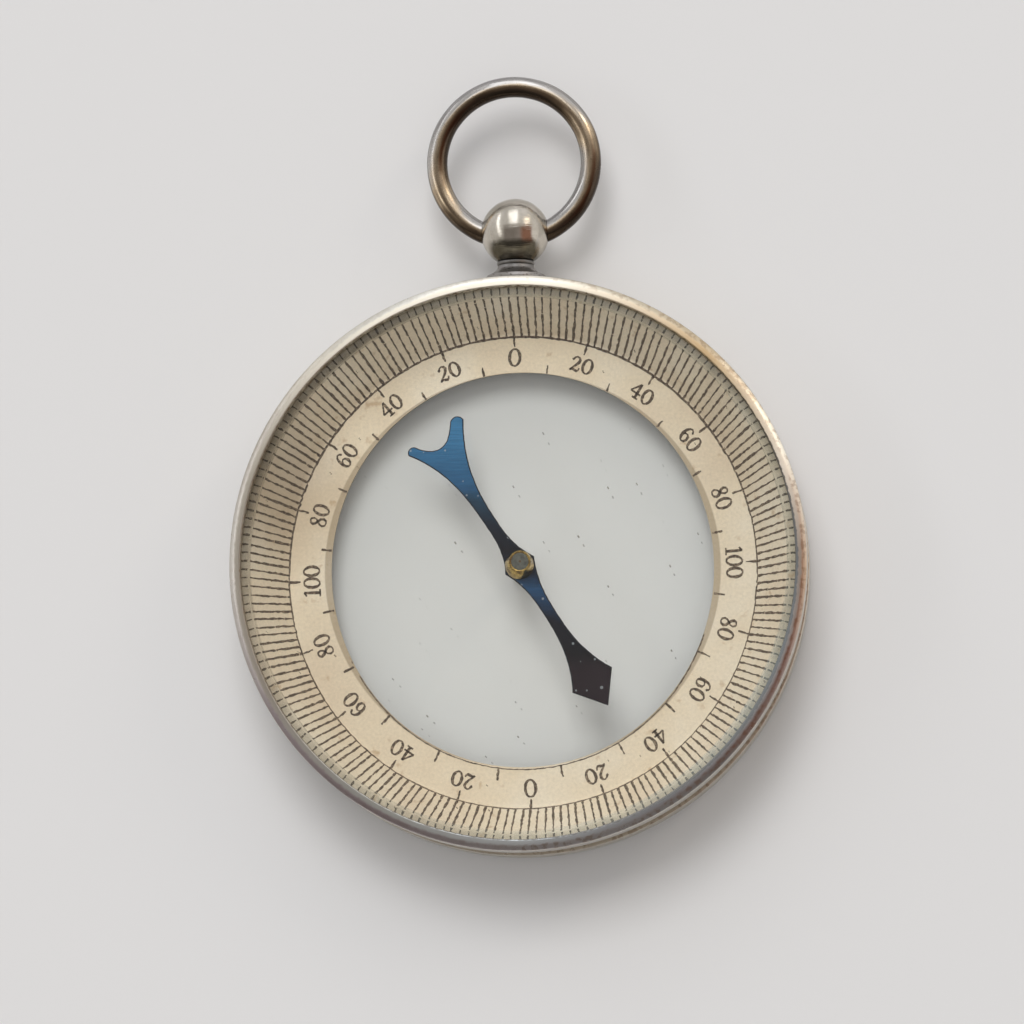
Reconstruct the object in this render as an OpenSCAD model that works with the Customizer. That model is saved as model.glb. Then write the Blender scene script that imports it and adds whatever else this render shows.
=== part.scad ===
// Pendant compass with a glass on both sides: a flat round case, a dished ring dial,
// a forked needle on a jewelled cap, and a pendant ball that carries a swinging bail.
// Millimetres. The origin is on the needle's axis, in the plane that the back rests on.
// +Z comes out of the dial, +Y points to the pendant.

/* [Case] */
// Diameter over the two bezels
case_d = 32; // [30:0.5:36]
// Thickness over the two bezels
case_t = 6; // [5.9:0.1:7]
// Height of each bezel
bezel_h = 1.9; // [1.7:0.1:2.1]
// Wall of a bezel's skirt, outside the band's neck
bezel_wall = 0.4; // [0.3:0.05:0.5]
// Width of a bezel's rolled lip, seen from the front
lip_w = 0.62; // [0.56:0.02:0.7]
// Thickness of that lip, from its crest down to the glass
lip_t = 0.65; // [0.5:0.05:0.75]
// Depth that the crest of the lip is worn flat
lip_flat = 0.03; // [0.01:0.01:0.06]
// How far the band lies inside the bezels' outer faces
band_step = 0.2; // [0.1:0.05:0.3]
// Wall of the band's two necks, which the bezels press on to
neck_wall = 0.3; // [0.2:0.05:0.4]

/* [Glasses] */
// Thickness of each glass in the middle
glass_t = 0.85; // [0.7:0.05:1]
// Thickness of its rim, under the lip
glass_edge_t = 0.55; // [0.45:0.05:0.65]
// Width of its ground bevel
bevel_w = 0.45; // [0.3:0.05:0.7]
// Gap between its rim and the bezel
glass_gap = 0.05; // [0.02:0.01:0.1]

/* [Dial] */
// Width of the dial's rim, clamped between the front glass and the band
clamp_w = 0.5; // [0.3:0.05:0.7]
// Width of the sloping scale, seen from the front
slope_w = 1.76; // [1.4:0.02:2.1]
// Width of the flat ring with the numerals
flat_w = 2.21; // [1.8:0.01:2.6]
// Gap between the dial and the rear glass
dish_gap = 0.25; // [0.1:0.05:0.6]
// Thickness of the pressed metal dish
plate_t = 0.2; // [0.15:0.05:0.25]
// Thickness of the paper on it
card_t = 0.1; // [0.08:0.01:0.14]

/* [Pivot] */
// Diameter of the brass stud above the glass
stud_d = 0.7; // [0.6:0.02:0.8]
// Diameter of its flange on the glass
stud_flange_d = 1.1; // [1:0.02:1.2]
// Thickness of that flange
stud_flange_t = 0.3; // [0.2:0.05:0.4]
// Diameter of its shank, through the glass
shank_d = 0.8; // [0.7:0.02:0.9]
// Diameter of the washer on the outside of the glass
washer_d = 1.3; // [1.2:0.05:1.6]
// Thickness of the washer
washer_t = 0.15; // [0.1:0.01:0.2]
// Diameter of the steel pivot pin
pin_d = 0.3; // [0.26:0.02:0.36]
// Length of the pin's ground point
pin_point = 0.5; // [0.4:0.05:0.6]
// How far the pin stands out of the stud
pin_reach = 1.3; // [1.2:0.05:1.4]

/* [Needle] */
// Length from the pivot to the ends of the fork
fork_len = 8.87; // [8:0.01:9.5]
// Length from the pivot to the point of the arrow
arrow_len = 9.25; // [8.6:0.01:9.8]
// Thickness of the blade
blade_t = 0.2; // [0.15:0.05:0.25]
// Half width at the boss
boss_half = 0.95; // [0.88:0.01:1.1]
// Half width at the waists
waist_half = 0.33; // [0.25:0.01:0.4]
// Half width across the prongs of the fork
fork_half = 1.62; // [1.3:0.01:1.9]
// Depth of the notch between the prongs
notch_depth = 0.9; // [0.5:0.01:1.2]
// Half width at the corners of the arrow
arrow_half = 1.3; // [1:0.01:1.6]
// Length of the arrow's point, past its corners
arrow_point = 1.68; // [1.2:0.01:2.2]
// Bearing at rest, anticlockwise from the pendant
needle_rest = 32; // [0:1:359]

/* [Cap] */
// Diameter of the cap's foot
cap_d = 1.6; // [1.5:0.02:1.7]
// Diameter of the cap at its top
cap_top_d = 1.24; // [1.16:0.02:1.3]
// Height of the cap above the blade
cap_h = 0.9; // [0.8:0.05:1]
// Clearance between the cap and the front glass
cap_clear = 0.25; // [0.2:0.05:0.4]
// Diameter of the jewel
jewel_d = 0.98; // [0.9:0.02:1]
// Thickness of the jewel
jewel_t = 0.46; // [0.4:0.02:0.5]
// Clearance of the pivot's point under the jewel
point_clear = 0.03; // [0.01:0.01:0.05]

/* [Pendant] */
// Diameter of the ball
ball_d = 3.83; // [3.4:0.01:4.2]
// Distance of the ball's centre from the edge of the case
ball_reach = 2.86; // [2.8:0.01:3.3]
// Diameter of the neck under the ball
neck_d = 2.1; // [1.8:0.02:2.4]
// Diameter of the foot that covers the joint with the case
foot_d = 3.5; // [3:0.1:4]
// Height of the foot's straight edge
foot_edge = 0.35; // [0.2:0.05:0.5]
// Diameter of the stem that rivets it all to the band
stem_d = 0.9; // [0.8:0.02:1]

/* [Bail] */
// Diameter of the bail along the middle of its wire
bail_d = 8.66; // [8:0.02:10]
// Diameter of the wire
wire_d = 1.16; // [1:0.02:1.3]
// Distance from the swinging axis to the middle of the ring
bail_offset = 3.98; // [3.6:0.02:4.4]
// Diameter of the turned-down ends that swing in the ball
trunnion_d = 0.72; // [0.6:0.02:0.76]
// Length of each end inside the ball
trunnion_l = 1; // [0.8:0.05:1.2]
// Clearance round the turned-down ends
run_gap = 0.04; // [0.02:0.01:0.08]
// Clearance between the bail's shoulders and the ball
shoulder_gap = 0.05; // [0.03:0.01:0.1]

/* [Hidden] */
$fn = 96;

cut = 1;             // how far a cutter runs past the face that it cuts
seat_gap = 0.01;     // gap of a soldered or cemented seat
case_r = case_d / 2;
skirt_r = case_r - bezel_wall;
lip_r = case_r - lip_w;
bead_r = lip_w / 2;
band_r = case_r - band_step;
band_bore_r = skirt_r - neck_wall;
glass_r = skirt_r - glass_gap;
land_w = 0.03;                                 // the bevel stops this far inside the lip
land_r = lip_r - land_w;
glass_in = lip_t + glass_edge_t;               // inner face of a glass, from its own side
front_in = case_t - glass_in;                  // inner face of the front glass
dish_t = plate_t + card_t;
dial_top = glass_in + dish_gap + dish_t;
dial_depth = front_in - dial_top;              // from the front glass down to the flat ring
rim_r = glass_r - glass_gap;
scale_out_r = rim_r - clamp_w;
scale_in_r = scale_out_r - slope_w;
dial_hole_r = scale_in_r - flat_w;
cone_rise = atan2(dial_depth, slope_w);
bend_shift = tan(cone_rise / 2);               // how far a bend moves out, over the layer's depth

cap_top = front_in - cap_clear;
cap_edge = 0.18;                               // straight foot of the cap, on the blade
blade_top = cap_top - cap_h;
blade_low = blade_top - blade_t;
tenon_d = 0.9;
burr_d = 1.16;
burr_t = 0.17;
cap_bore_d = 0.6;
jewel_sink = 0.04;                             // the jewel's top lies this far below the cap's
jewel_low = cap_top - jewel_sink - jewel_t;
jewel_dome = 1.6;
cup_d = 0.5;
cup_depth = 0.2;
point_z = jewel_low + cup_depth - point_clear;
point_r = 0.02;
stud_top = point_z - pin_reach;
washer_low = glass_in - glass_t - washer_t;
head_t = 0.1;                                  // the riveted head stays above the rest plane
head_low = washer_low - head_t;
head_d = 1.06;
head_face_d = 0.9;

mid_z = case_t / 2;
ball_r = ball_d / 2;
ball_y = case_r + ball_reach;
seat_y = ball_y - sqrt(ball_r * ball_r - neck_d * neck_d / 4);
neck_bead = 0.28;
bead_sink = 0.1;                               // the bead's ring stands this far out of its neck
foot_gap = 0.05;                               // the foot stands this far off the bezels
foot_y = case_r + foot_gap;
boss_d = 2;
boss_in = 0.3;
stem_in = 0.9;
rivet_d = 1.5;
rivet_t = 0.35;
shoulder_r = ball_r + shoulder_gap;
pin_root = 0.18;                               // how far the turned-down ends run into the wire
pin_out = shoulder_r + pin_root;

waist_fork_y = 2.7;
waist_arrow_y = 3.2;
prong_r = 0.27;
notch_half = 0.3;
boss_power = 2.6;                              // how sharply the blade widens to its boss
end_power = 2.55;                              // and to its two ends
steps = 12;

// A solid turned round the needle's axis from a section
module turned(section) {
    rotate_extrude() polygon(section);
}

// One bezel, with its crest at z = 0 and its skirt upwards
module bezel_ring() {
    rotate_extrude() {
        intersection() {
            translate([case_r - bead_r, bead_r - lip_flat]) circle(bead_r);
            translate([lip_r, 0]) square([lip_w, lip_w]);
        }
        translate([lip_r, bead_r - lip_flat]) square([lip_w, lip_t - bead_r + lip_flat]);
        translate([skirt_r, lip_t]) square([bezel_wall, bezel_h - lip_t]);
    }
}

// One glass, bevelled on its outer side, below the same crest
module glass_disc() {
    outer = glass_in - glass_t;
    turned([[0, outer], [land_r - bevel_w, outer], [land_r, lip_t], [glass_r, lip_t],
            [glass_r, glass_in], [0, glass_in]]);
}

// The dished form of the dial: one layer, between two heights over the plate's underside
module dish(low, high) {
    floor_z = dial_top - dish_t;
    rim_z = front_in - dish_t;
    low_shift = (dish_t - low) * bend_shift;
    high_shift = (dish_t - high) * bend_shift;
    turned([[dial_hole_r, floor_z + low], [scale_in_r + low_shift, floor_z + low],
            [scale_out_r + low_shift, rim_z + low], [rim_r, rim_z + low],
            [rim_r, rim_z + high], [scale_out_r + high_shift, rim_z + high],
            [scale_in_r + high_shift, floor_z + high], [dial_hole_r, floor_z + high]]);
}

// Middle ring of the case: a recessed band between two necks, drilled for the stem
module case_band() {
    neck_low = glass_in;
    neck_high = front_in - dish_t;
    color("#b9b4a8") difference() {
        union() {
            translate([0, 0, neck_low]) cylinder(r = skirt_r, h = neck_high - neck_low);
            translate([0, 0, bezel_h]) cylinder(r = band_r, h = case_t - 2 * bezel_h);
        }
        translate([0, 0, -cut]) cylinder(r = band_bore_r, h = case_t + 2 * cut);
        translate([0, 0, mid_z]) rotate([-90, 0, 0])
            cylinder(d = stem_d + 2 * seat_gap, h = case_r + cut);
    }
}

// The two bezels, each pressed on a neck of the band
module front_bezel() {
    color("#c9c5ba") translate([0, 0, case_t]) mirror([0, 0, 1]) bezel_ring();
}

module rear_bezel() {
    color("#c4bfb4") bezel_ring();
}

// The two glasses, each clamped under a bezel's lip; the rear one is drilled for the stud
module front_glass() {
    color("#dfe9e6", 0.3) translate([0, 0, case_t]) mirror([0, 0, 1]) glass_disc();
}

module rear_glass() {
    color("#dfe9e6", 0.3) difference() {
        glass_disc();
        translate([0, 0, -cut]) cylinder(d = shank_d + 2 * seat_gap, h = case_t);
    }
}

// The dial: a pressed metal dish, and the paper pasted over all of it
module dial_plate() {
    color("#a79f8c") dish(0, plate_t);
}

module dial_card() {
    color("#d8c9ad") dish(plate_t, dish_t);
}

// Brass stud, riveted through the rear glass, drilled for the pivot pin
module pivot_stud() {
    color("#b08d45") difference() {
        union() {
            translate([0, 0, glass_in]) cylinder(d = stud_flange_d, h = stud_flange_t);
            translate([0, 0, glass_in]) cylinder(d = stud_d, h = stud_top - glass_in);
            translate([0, 0, washer_low - head_t / 2])
                cylinder(d = shank_d, h = glass_in - washer_low + head_t / 2);
            translate([0, 0, head_low]) cylinder(d1 = head_face_d, d2 = head_d, h = head_t);
        }
        translate([0, 0, stud_top - pin_reach]) cylinder(d = pin_d + 2 * seat_gap, h = pin_reach + cut);
    }
}

// Washer on the outside of the rear glass, under the stud's riveted head
module pivot_washer() {
    color("#a5823f") translate([0, 0, washer_low]) difference() {
        cylinder(d = washer_d, h = washer_t);
        translate([0, 0, -cut]) cylinder(d = shank_d + 2 * seat_gap, h = washer_t + 2 * cut);
    }
}

// Hard steel pin, ground to the point that the jewel rides on
module pivot_pin() {
    low = stud_top - pin_reach + seat_gap;
    color("#7d7f83") turned([[0, low], [pin_d / 2, low], [pin_d / 2, point_z - pin_point],
                             [point_r, point_z], [0, point_z]]);
}

// Half width of the blade between a waist and its boss, and between a waist and its end
function boss_curve(t) = waist_half + (boss_half - waist_half) * pow(max(0, 1 - t), boss_power);
function end_curve(t, half) = waist_half + (half - waist_half) * pow(t, end_power);
function flank(waist_y, end_y, half) = concat(
    [for (i = [0 : steps - 1]) let (t = i / steps) [boss_curve(t), waist_y * t]],
    [for (i = [0 : steps]) let (t = i / steps)
        [end_curve(t, half), waist_y + (end_y - waist_y) * t]]);
function across(points) = [for (p = points) [-p[0], p[1]]];
function down(points) = [for (p = points) [p[0], -p[1]]];
function reversed(points) = [for (i = [len(points) - 1 : -1 : 0]) points[i]];

// One edge of the blade, from the arrow's point up to the notch in the fork
function blade_edge() =
    let (prong_y = fork_len - prong_r, prong_x = fork_half - prong_r)
    concat([[0, -arrow_len]],
           reversed(down(flank(waist_arrow_y, arrow_len - arrow_point, arrow_half))),
           flank(waist_fork_y, prong_y, fork_half),
           [for (a = [30 : 30 : 150]) [prong_x + prong_r * cos(a), prong_y + prong_r * sin(a)]],
           [[notch_half, fork_len - notch_depth]]);

// Blade of blued steel, forked at one end and pointed at the other
module needle_blade() {
    color("#27496b") rotate(needle_rest) difference() {
        translate([0, 0, blade_low]) linear_extrude(blade_t)
            polygon(concat(blade_edge(), reversed(across(blade_edge()))));
        translate([0, 0, blade_low - cut]) cylinder(d = tenon_d, h = blade_t + 2 * cut);
    }
}

// Conical brass cap, riveted in the blade by a burred tenon, bored for the pivot
module needle_cap() {
    color("#b8923f") turned([
        [cap_bore_d / 2, blade_low - burr_t], [burr_d / 2, blade_low - burr_t],
        [burr_d / 2, blade_low], [tenon_d / 2, blade_low], [tenon_d / 2, blade_top],
        [cap_d / 2, blade_top], [cap_d / 2, blade_top + cap_edge], [cap_top_d / 2, cap_top],
        [jewel_d / 2, cap_top], [jewel_d / 2, jewel_low], [cap_bore_d / 2, jewel_low]]);
}

// Jewel with a cupped underside that rides on the pivot's point, and a low dome on top
module cap_jewel() {
    color("#8c918c") difference() {
        intersection() {
            translate([0, 0, jewel_low]) cylinder(d = jewel_d - 2 * seat_gap, h = jewel_t);
            translate([0, 0, jewel_low + jewel_t - jewel_dome]) sphere(jewel_dome);
        }
        translate([0, 0, jewel_low]) rotate_extrude()
            polygon([[0, -cut], [cup_d / 2, -cut], [cup_d / 2, 0], [0, cup_depth]]);
    }
}

// Flared foot with a beaded neck, seated on the band between the bezels
module pendant_foot() {
    cone_y = seat_y - neck_bead;
    color("#8f8a86") translate([0, 0, mid_z]) difference() {
        rotate([-90, 0, 0]) {
            translate([0, 0, band_r - boss_in])
                cylinder(d = boss_d, h = foot_y - band_r + boss_in + foot_edge);
            translate([0, 0, foot_y]) cylinder(d = foot_d, h = foot_edge);
            translate([0, 0, foot_y + foot_edge])
                cylinder(d1 = foot_d, d2 = neck_d, h = cone_y - foot_y - foot_edge);
            translate([0, 0, cone_y]) cylinder(d = neck_d - 2 * bead_sink, h = neck_bead);
            translate([0, 0, cone_y + neck_bead / 2]) rotate_extrude()
                translate([neck_d / 2 - neck_bead / 2, 0]) circle(d = neck_bead);
        }
        translate([0, 0, -case_t]) cylinder(r = band_r + seat_gap, h = 2 * case_t);
        rotate([-90, 0, 0]) cylinder(d = stem_d + 2 * seat_gap, h = ball_y);
    }
}

// Stem through the band and the foot into the ball, riveted over inside the band
module pendant_stem() {
    head_y = sqrt(pow(band_bore_r, 2) - pow(rivet_d / 2, 2)) - seat_gap;
    color("#9a948a") translate([0, 0, mid_z]) rotate([-90, 0, 0]) {
        translate([0, 0, head_y - rivet_t]) cylinder(d = rivet_d, h = rivet_t);
        translate([0, 0, head_y - seat_gap]) cylinder(d = stem_d, h = seat_y + stem_in - head_y);
    }
}

// Drilled ball: a blind hole for the stem, and a cross hole for the bail's ends
module pendant_ball() {
    seat = seat_y - ball_y;
    color("#aaa59b") translate([0, ball_y, mid_z]) difference() {
        rotate([-90, 0, 0]) rotate_extrude() difference() {
            circle(ball_r);
            translate([-ball_r - cut, -ball_r - cut])
                square([ball_r + cut, 2 * (ball_r + cut)]);
            translate([-cut, -ball_r - cut]) square([ball_r + 2 * cut, seat + ball_r + cut]);
            translate([-cut, seat - cut])
                square([cut + stem_d / 2 + seat_gap, cut + stem_in + seat_gap]);
        }
        translate([-ball_r - cut, 0, 0]) rotate([0, 90, 0])
            cylinder(d = trunnion_d + 2 * run_gap, h = 2 * (ball_r + cut));
    }
}

// Ring of round wire: its shoulders hug the ball, its ends are turned down to swing in it
module bail() {
    color("#857f76") translate([0, ball_y, mid_z]) {
        difference() {
            translate([0, bail_offset, 0]) rotate_extrude()
                translate([bail_d / 2, 0]) circle(d = wire_d);
            sphere(shoulder_r);
        }
        for (side = [-1, 1])
            translate([side > 0 ? ball_r - trunnion_l : -pin_out, 0, 0]) rotate([0, 90, 0])
                cylinder(d = trunnion_d, h = pin_out - ball_r + trunnion_l);
    }
}

case_band();
front_bezel();
rear_bezel();
front_glass();
rear_glass();
dial_plate();
dial_card();
pivot_stud();
pivot_washer();
pivot_pin();
needle_blade();
needle_cap();
cap_jewel();
pendant_foot();
pendant_stem();
pendant_ball();
bail();
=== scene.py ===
import math
import random

import bmesh
import bpy
from mathutils import Matrix, Vector, noise


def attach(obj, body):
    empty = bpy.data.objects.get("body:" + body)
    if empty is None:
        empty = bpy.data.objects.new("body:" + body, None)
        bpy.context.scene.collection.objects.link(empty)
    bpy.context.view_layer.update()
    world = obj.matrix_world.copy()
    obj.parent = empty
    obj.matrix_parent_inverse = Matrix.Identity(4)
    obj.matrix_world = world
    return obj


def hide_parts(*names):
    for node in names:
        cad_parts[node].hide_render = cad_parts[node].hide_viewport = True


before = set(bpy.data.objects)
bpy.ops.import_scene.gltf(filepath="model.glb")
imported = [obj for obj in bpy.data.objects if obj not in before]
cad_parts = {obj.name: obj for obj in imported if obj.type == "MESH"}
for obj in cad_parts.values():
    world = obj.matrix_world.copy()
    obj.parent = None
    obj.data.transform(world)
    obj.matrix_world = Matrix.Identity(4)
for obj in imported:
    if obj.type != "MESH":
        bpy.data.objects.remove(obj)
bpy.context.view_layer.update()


# Case band: the middle ring of the case, nickel-plated brass, turned from tube. It is 0.2 mm
# smaller than the bezels, whose skirts are pressed on its two necks.
MM = 0.001
CASE_R, CASE_T = 16.0, 6.0
BAND_R, BAND_BORE_R, SKIRT_R = 15.8, 15.3, 15.6
BAND_LOW, BAND_HIGH = 1.9, 4.1
NECK_LOW, NECK_HIGH = 1.2, 4.5
STEM_HOLE_R, STEM_HOLE_FROM, STEM_HOLE_TO = 0.46, 14, 17


def to_linear(colour, alpha=1.0):
    """An sRGB hex colour as linear RGBA."""
    parts = [int(colour[i : i + 2], 16) / 255 for i in (1, 3, 5)]
    return [p / 12.92 if p <= 0.04045 else ((p + 0.055) / 1.055) ** 2.4 for p in parts] + [alpha]


def connect(tree, node, links):
    """Links inputs of a node, each to a socket or to the live output of another node."""
    for name, source in links.items():
        if isinstance(source, bpy.types.Node):
            source = next(output for output in source.outputs if output.enabled)
        tree.links.new(source, node.inputs[name])


def add(tree, kind, settings=None, links=None):
    """Adds a shader node, with its settings by name and its links by input."""
    node = tree.nodes.new("ShaderNode" + kind)
    for name, value in (settings or {}).items():
        if name == "stops":
            ramp = node.color_ramp
            while len(ramp.elements) < len(value):
                ramp.elements.new(0.5)
            for element, (place, colour) in zip(ramp.elements, value):
                element.position = place
                element.color = to_linear(colour)
        elif isinstance(name, int) or name in node.inputs:
            socket = node.inputs[name]
            socket.default_value = to_linear(value) if isinstance(value, str) else value
        else:
            setattr(node, name, value)
    connect(tree, node, links or {})
    return node


def new_material(name, settings=None):
    """A new material, its tree, and its shader with these settings."""
    material = bpy.data.materials.new(name)
    material.use_nodes = True
    tree = material.node_tree
    tree.nodes.clear()
    shader = add(tree, "BsdfPrincipled", settings)
    add(tree, "OutputMaterial", None, {"Surface": shader})
    return material, tree, shader


def new_piece(name, verts, faces, sharp=32):
    """A piece from vertices in millimetres, shaded smooth but for its sharp edges."""
    mesh = bpy.data.meshes.new(name)
    mesh.from_pydata([Vector(v) * MM for v in verts], [], faces)
    shape = bmesh.new()
    shape.from_mesh(mesh)
    bmesh.ops.remove_doubles(shape, verts=shape.verts, dist=1e-8)
    bmesh.ops.recalc_face_normals(shape, faces=shape.faces)
    shape.to_mesh(mesh)
    shape.free()
    mesh.shade_smooth()
    mesh.set_sharp_from_angle(angle=math.radians(sharp))
    piece = bpy.data.objects.new(name, mesh)
    bpy.context.scene.collection.objects.link(piece)
    return piece


def eased(corners, steps=4):
    """A section from corners (radius, height, easing): each corner is rounded over its easing."""
    points, count = [], len(corners)
    for i, corner in enumerate(corners):
        here = Vector(corner[:2])
        ease = corner[2] if len(corner) > 2 else 0
        if not ease:
            points.append(tuple(here))
            continue
        back = (Vector(corners[i - 1][:2]) - here).normalized() * ease
        ahead = (Vector(corners[(i + 1) % count][:2]) - here).normalized() * ease
        for k in range(steps + 1):
            t = k / steps
            points.append(tuple(here + back * (1 - t) ** 2 + ahead * t**2))
    return points


def turned(name, section, place=None, turns=240, sway=None, sharp=32):
    """A piece turned round the Z axis from a section, then moved by place. A section that
    starts off the axis is closed. sway gives a small error of the radius at an angle."""
    verts, faces, rings = [], [], []
    for radius, height in section:
        if radius < 1e-6:
            rings.append([len(verts)] * turns)
            verts.append(Vector((0, 0, height)))
            continue
        rings.append(range(len(verts), len(verts) + turns))
        for k in range(turns):
            angle = 2 * math.pi * k / turns
            r = radius + (sway(angle, radius, height) if sway else 0)
            verts.append(Vector((r * math.cos(angle), r * math.sin(angle), height)))
    pairs = list(zip(rings, rings[1:]))
    if section[0][0] > 1e-6:
        pairs.append((rings[-1], rings[0]))
    for low, high in pairs:
        for k in range(turns):
            j = (k + 1) % turns
            loop = []
            for v in (low[k], low[j], high[j], high[k]):
                if v not in loop:
                    loop.append(v)
            if len(loop) > 2:
                faces.append(loop)
    if place is not None:
        verts = [place @ v for v in verts]
    return new_piece(name, verts, faces, sharp)


def along(axis, x=0.0, y=0.0, z=0.0):
    """The place of a turned piece whose axis lies along X or Y through a point."""
    degrees, hinge = (90, "Y") if axis == "X" else (-90, "X")
    return Matrix.Translation((x, y, z)) @ Matrix.Rotation(math.radians(degrees), 4, hinge)


def rod(radius, start, end, place, turns):
    """A plain rod along its axis, to cut with or to join on."""
    return turned("rod", [(0, start), (radius, start), (radius, end), (0, end)], place, turns)


def combined(piece, tool, operation, sharp=32):
    """The piece with a tool cut out of it or joined to it. The tool is used up."""
    modifier = piece.modifiers.new("tool", "BOOLEAN")
    modifier.operation, modifier.solver, modifier.object = operation, "EXACT", tool
    graph = bpy.context.evaluated_depsgraph_get()
    mesh = bpy.data.meshes.new_from_object(piece.evaluated_get(graph))
    piece.modifiers.clear()
    piece.data = mesh
    bpy.data.objects.remove(tool)
    mesh.shade_smooth()
    mesh.set_sharp_from_angle(angle=math.radians(sharp))
    return piece


def mottling(tree, feature, detail=3.0, stretch=(1, 1, 1)):
    """Noise in the piece's own space, with features of a real size in millimetres."""
    space = add(tree, "TexCoord")
    moved = add(tree, "Mapping", {"Scale": stretch}, {"Vector": space.outputs["Object"]})
    return add(tree, "TexNoise", {"Scale": 1 / (feature * MM), "Detail": detail}, {"Vector": moved})


def unrolled(tree, axis, middle, reach):
    """The piece's space unrolled round an axis: distance from it, way round it and height on it.
    The way round is shrunk to reach millimetres per radian, so that noise becomes long streaks.
    It also gives how far round a point lies, as a share from 0 to 1, and its distance."""
    space = add(tree, "TexCoord")
    moved = add(tree, "VectorMath", {"operation": "SUBTRACT", 1: [c * MM for c in middle]},
                {0: space.outputs["Object"]})
    split = add(tree, "SeparateXYZ", None, {"Vector": moved})
    first, second = ("X", "Y") if axis == "Z" else ("X", "Z")
    flat = add(tree, "CombineXYZ", None, {"X": split.outputs[first], "Y": split.outputs[second]})
    radius = add(tree, "VectorMath", {"operation": "LENGTH"}, {0: flat})
    bearing = add(tree, "Math", {"operation": "ARCTAN2"},
                  {0: split.outputs[first], 1: split.outputs[second]})
    way = add(tree, "Math", {"operation": "MULTIPLY", 1: reach * MM}, {0: bearing})
    rolled = add(tree, "CombineXYZ", None, {"X": radius, "Y": way, "Z": split.outputs[axis]})
    share = add(tree, "MapRange", {"From Min": -math.pi, "From Max": math.pi}, {"Value": bearing})
    return rolled, share, radius


def plated_nickel(name, clean, dull, spot, roughness, spots, turning, groove, clouding=0.16):
    """Nickel-plated brass, turned and polished, then worn by handling. The eye gets a warm grey
    mirror with cloudy wear of a millimetre, brown spots of 0.1 mm, and fine lines round the axis it
    was turned on, drawn 0.05 mm apart so that they show, which draw each highlight out across them."""
    material, tree, shader = new_material(name, {"Metallic": 1.0})
    rolled, *_ = unrolled(tree, *turning)
    cloud = mottling(tree, 1.1, 4.0)
    fleck = mottling(tree, 0.11, 5.0)
    lines = add(tree, "TexNoise", {"Scale": 1 / (0.05 * MM), "Detail": 2.0}, {"Vector": rolled})
    wear = add(tree, "ValToRGB", {"stops": [(0.36, clean), (0.66, dull)]}, {"Fac": cloud})
    speck = add(tree, "MapRange", {"From Min": spots, "From Max": spots - 0.1}, {"Value": fleck})
    coat = add(tree, "Mix", {"data_type": "RGBA", 7: spot}, {0: speck, 6: wear})
    gloss = add(tree, "MapRange",
                {"From Min": 0.3, "From Max": 0.72, "To Min": roughness, "To Max": roughness + clouding},
                {"Value": cloud})
    scored = add(tree, "Bump", {"Strength": 1.0, "Distance": groove * MM}, {"Height": lines})
    ripple = add(tree, "Bump", {"Strength": 0.25, "Distance": 0.02 * MM},
                 {"Height": cloud, "Normal": scored})
    connect(tree, shader, {"Base Color": coat, "Roughness": gloss, "Normal": ripple})
    return material, tree, shader, coat


band = turned("case_band_ring", eased([
    (BAND_BORE_R, NECK_LOW), (SKIRT_R, NECK_LOW), (SKIRT_R, BAND_LOW), (BAND_R, BAND_LOW, 0.05),
    (BAND_R, BAND_HIGH, 0.05), (SKIRT_R, BAND_HIGH), (SKIRT_R, NECK_HIGH), (BAND_BORE_R, NECK_HIGH)]),
    turns=360)
drill = rod(STEM_HOLE_R, STEM_HOLE_FROM, STEM_HOLE_TO, along("Y", z=CASE_T / 2), 32)
combined(band, drill, "DIFFERENCE")
band_metal, *_ = plated_nickel("nickel_plate_turned_satin", "#e3dfd4", "#d6d1c5", "#8a7a62", 0.34, 0.34,
                               ("Z", (0, 0, 0), 0.5), 0.004, 0.07)
band.data.materials.append(band_metal)
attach(band, "case")
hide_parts("case_band")


# Bezels: two rolled rims of nickel-plated brass, spun over a former, polished and pressed on the
# band. The lip is a rolled bead that falls outwards, with a line where it meets the glass that is
# partly dirt and partly painted shade. The front one has lost its plating to the right, where gold
# and copper-red brass shows, and its colours round the rim also hold painted highlights and
# painted reflections.
LIP_R, LIP_T, BEZEL_H = 15.38, 0.65, 1.9
CREST_R, FALL_START, FALL_END, RIM_DOWN = 15.45, 12, 44, 0.6
SLOPE_FULL, SLOPE_END = 0.36, 0.48
# Depths are from the face of the case, first up the inside of the lip to its crest, then outwards
lip_inside = [(LIP_R, 0.3), (LIP_R, 0.14), (LIP_R + 0.01, 0.07), (LIP_R + 0.035, 0.02)]
lip_outside, steps = [(CREST_R, 0.0)], 24
for k in range(steps):
    fall = math.radians(FALL_START + (FALL_END - FALL_START) * ((k + 0.5) / steps) ** 1.6)
    across = (CASE_R - CREST_R) / steps
    lip_outside.append((lip_outside[-1][0] + across, lip_outside[-1][1] + across * math.tan(fall)))
bezel_section = [(LIP_R, LIP_T)] + lip_inside + lip_outside + eased([
    (CASE_R, RIM_DOWN), (CASE_R, BEZEL_H, 0.08), (SKIRT_R, BEZEL_H, 0.03), (SKIRT_R, LIP_T)])


def case_sway(angle, radius, height):
    """The spun rim is a hundredth of a millimetre out of round, always inwards."""
    return -0.012 * (0.5 + 0.5 * noise.noise((3 * math.cos(angle), 3 * math.sin(angle), 0.3 * height)))


def bezel(name, front):
    section = [(r, CASE_T - z if front else z) for r, z in bezel_section]
    return turned(name, section, turns=480, sway=case_sway, sharp=50)


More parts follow.
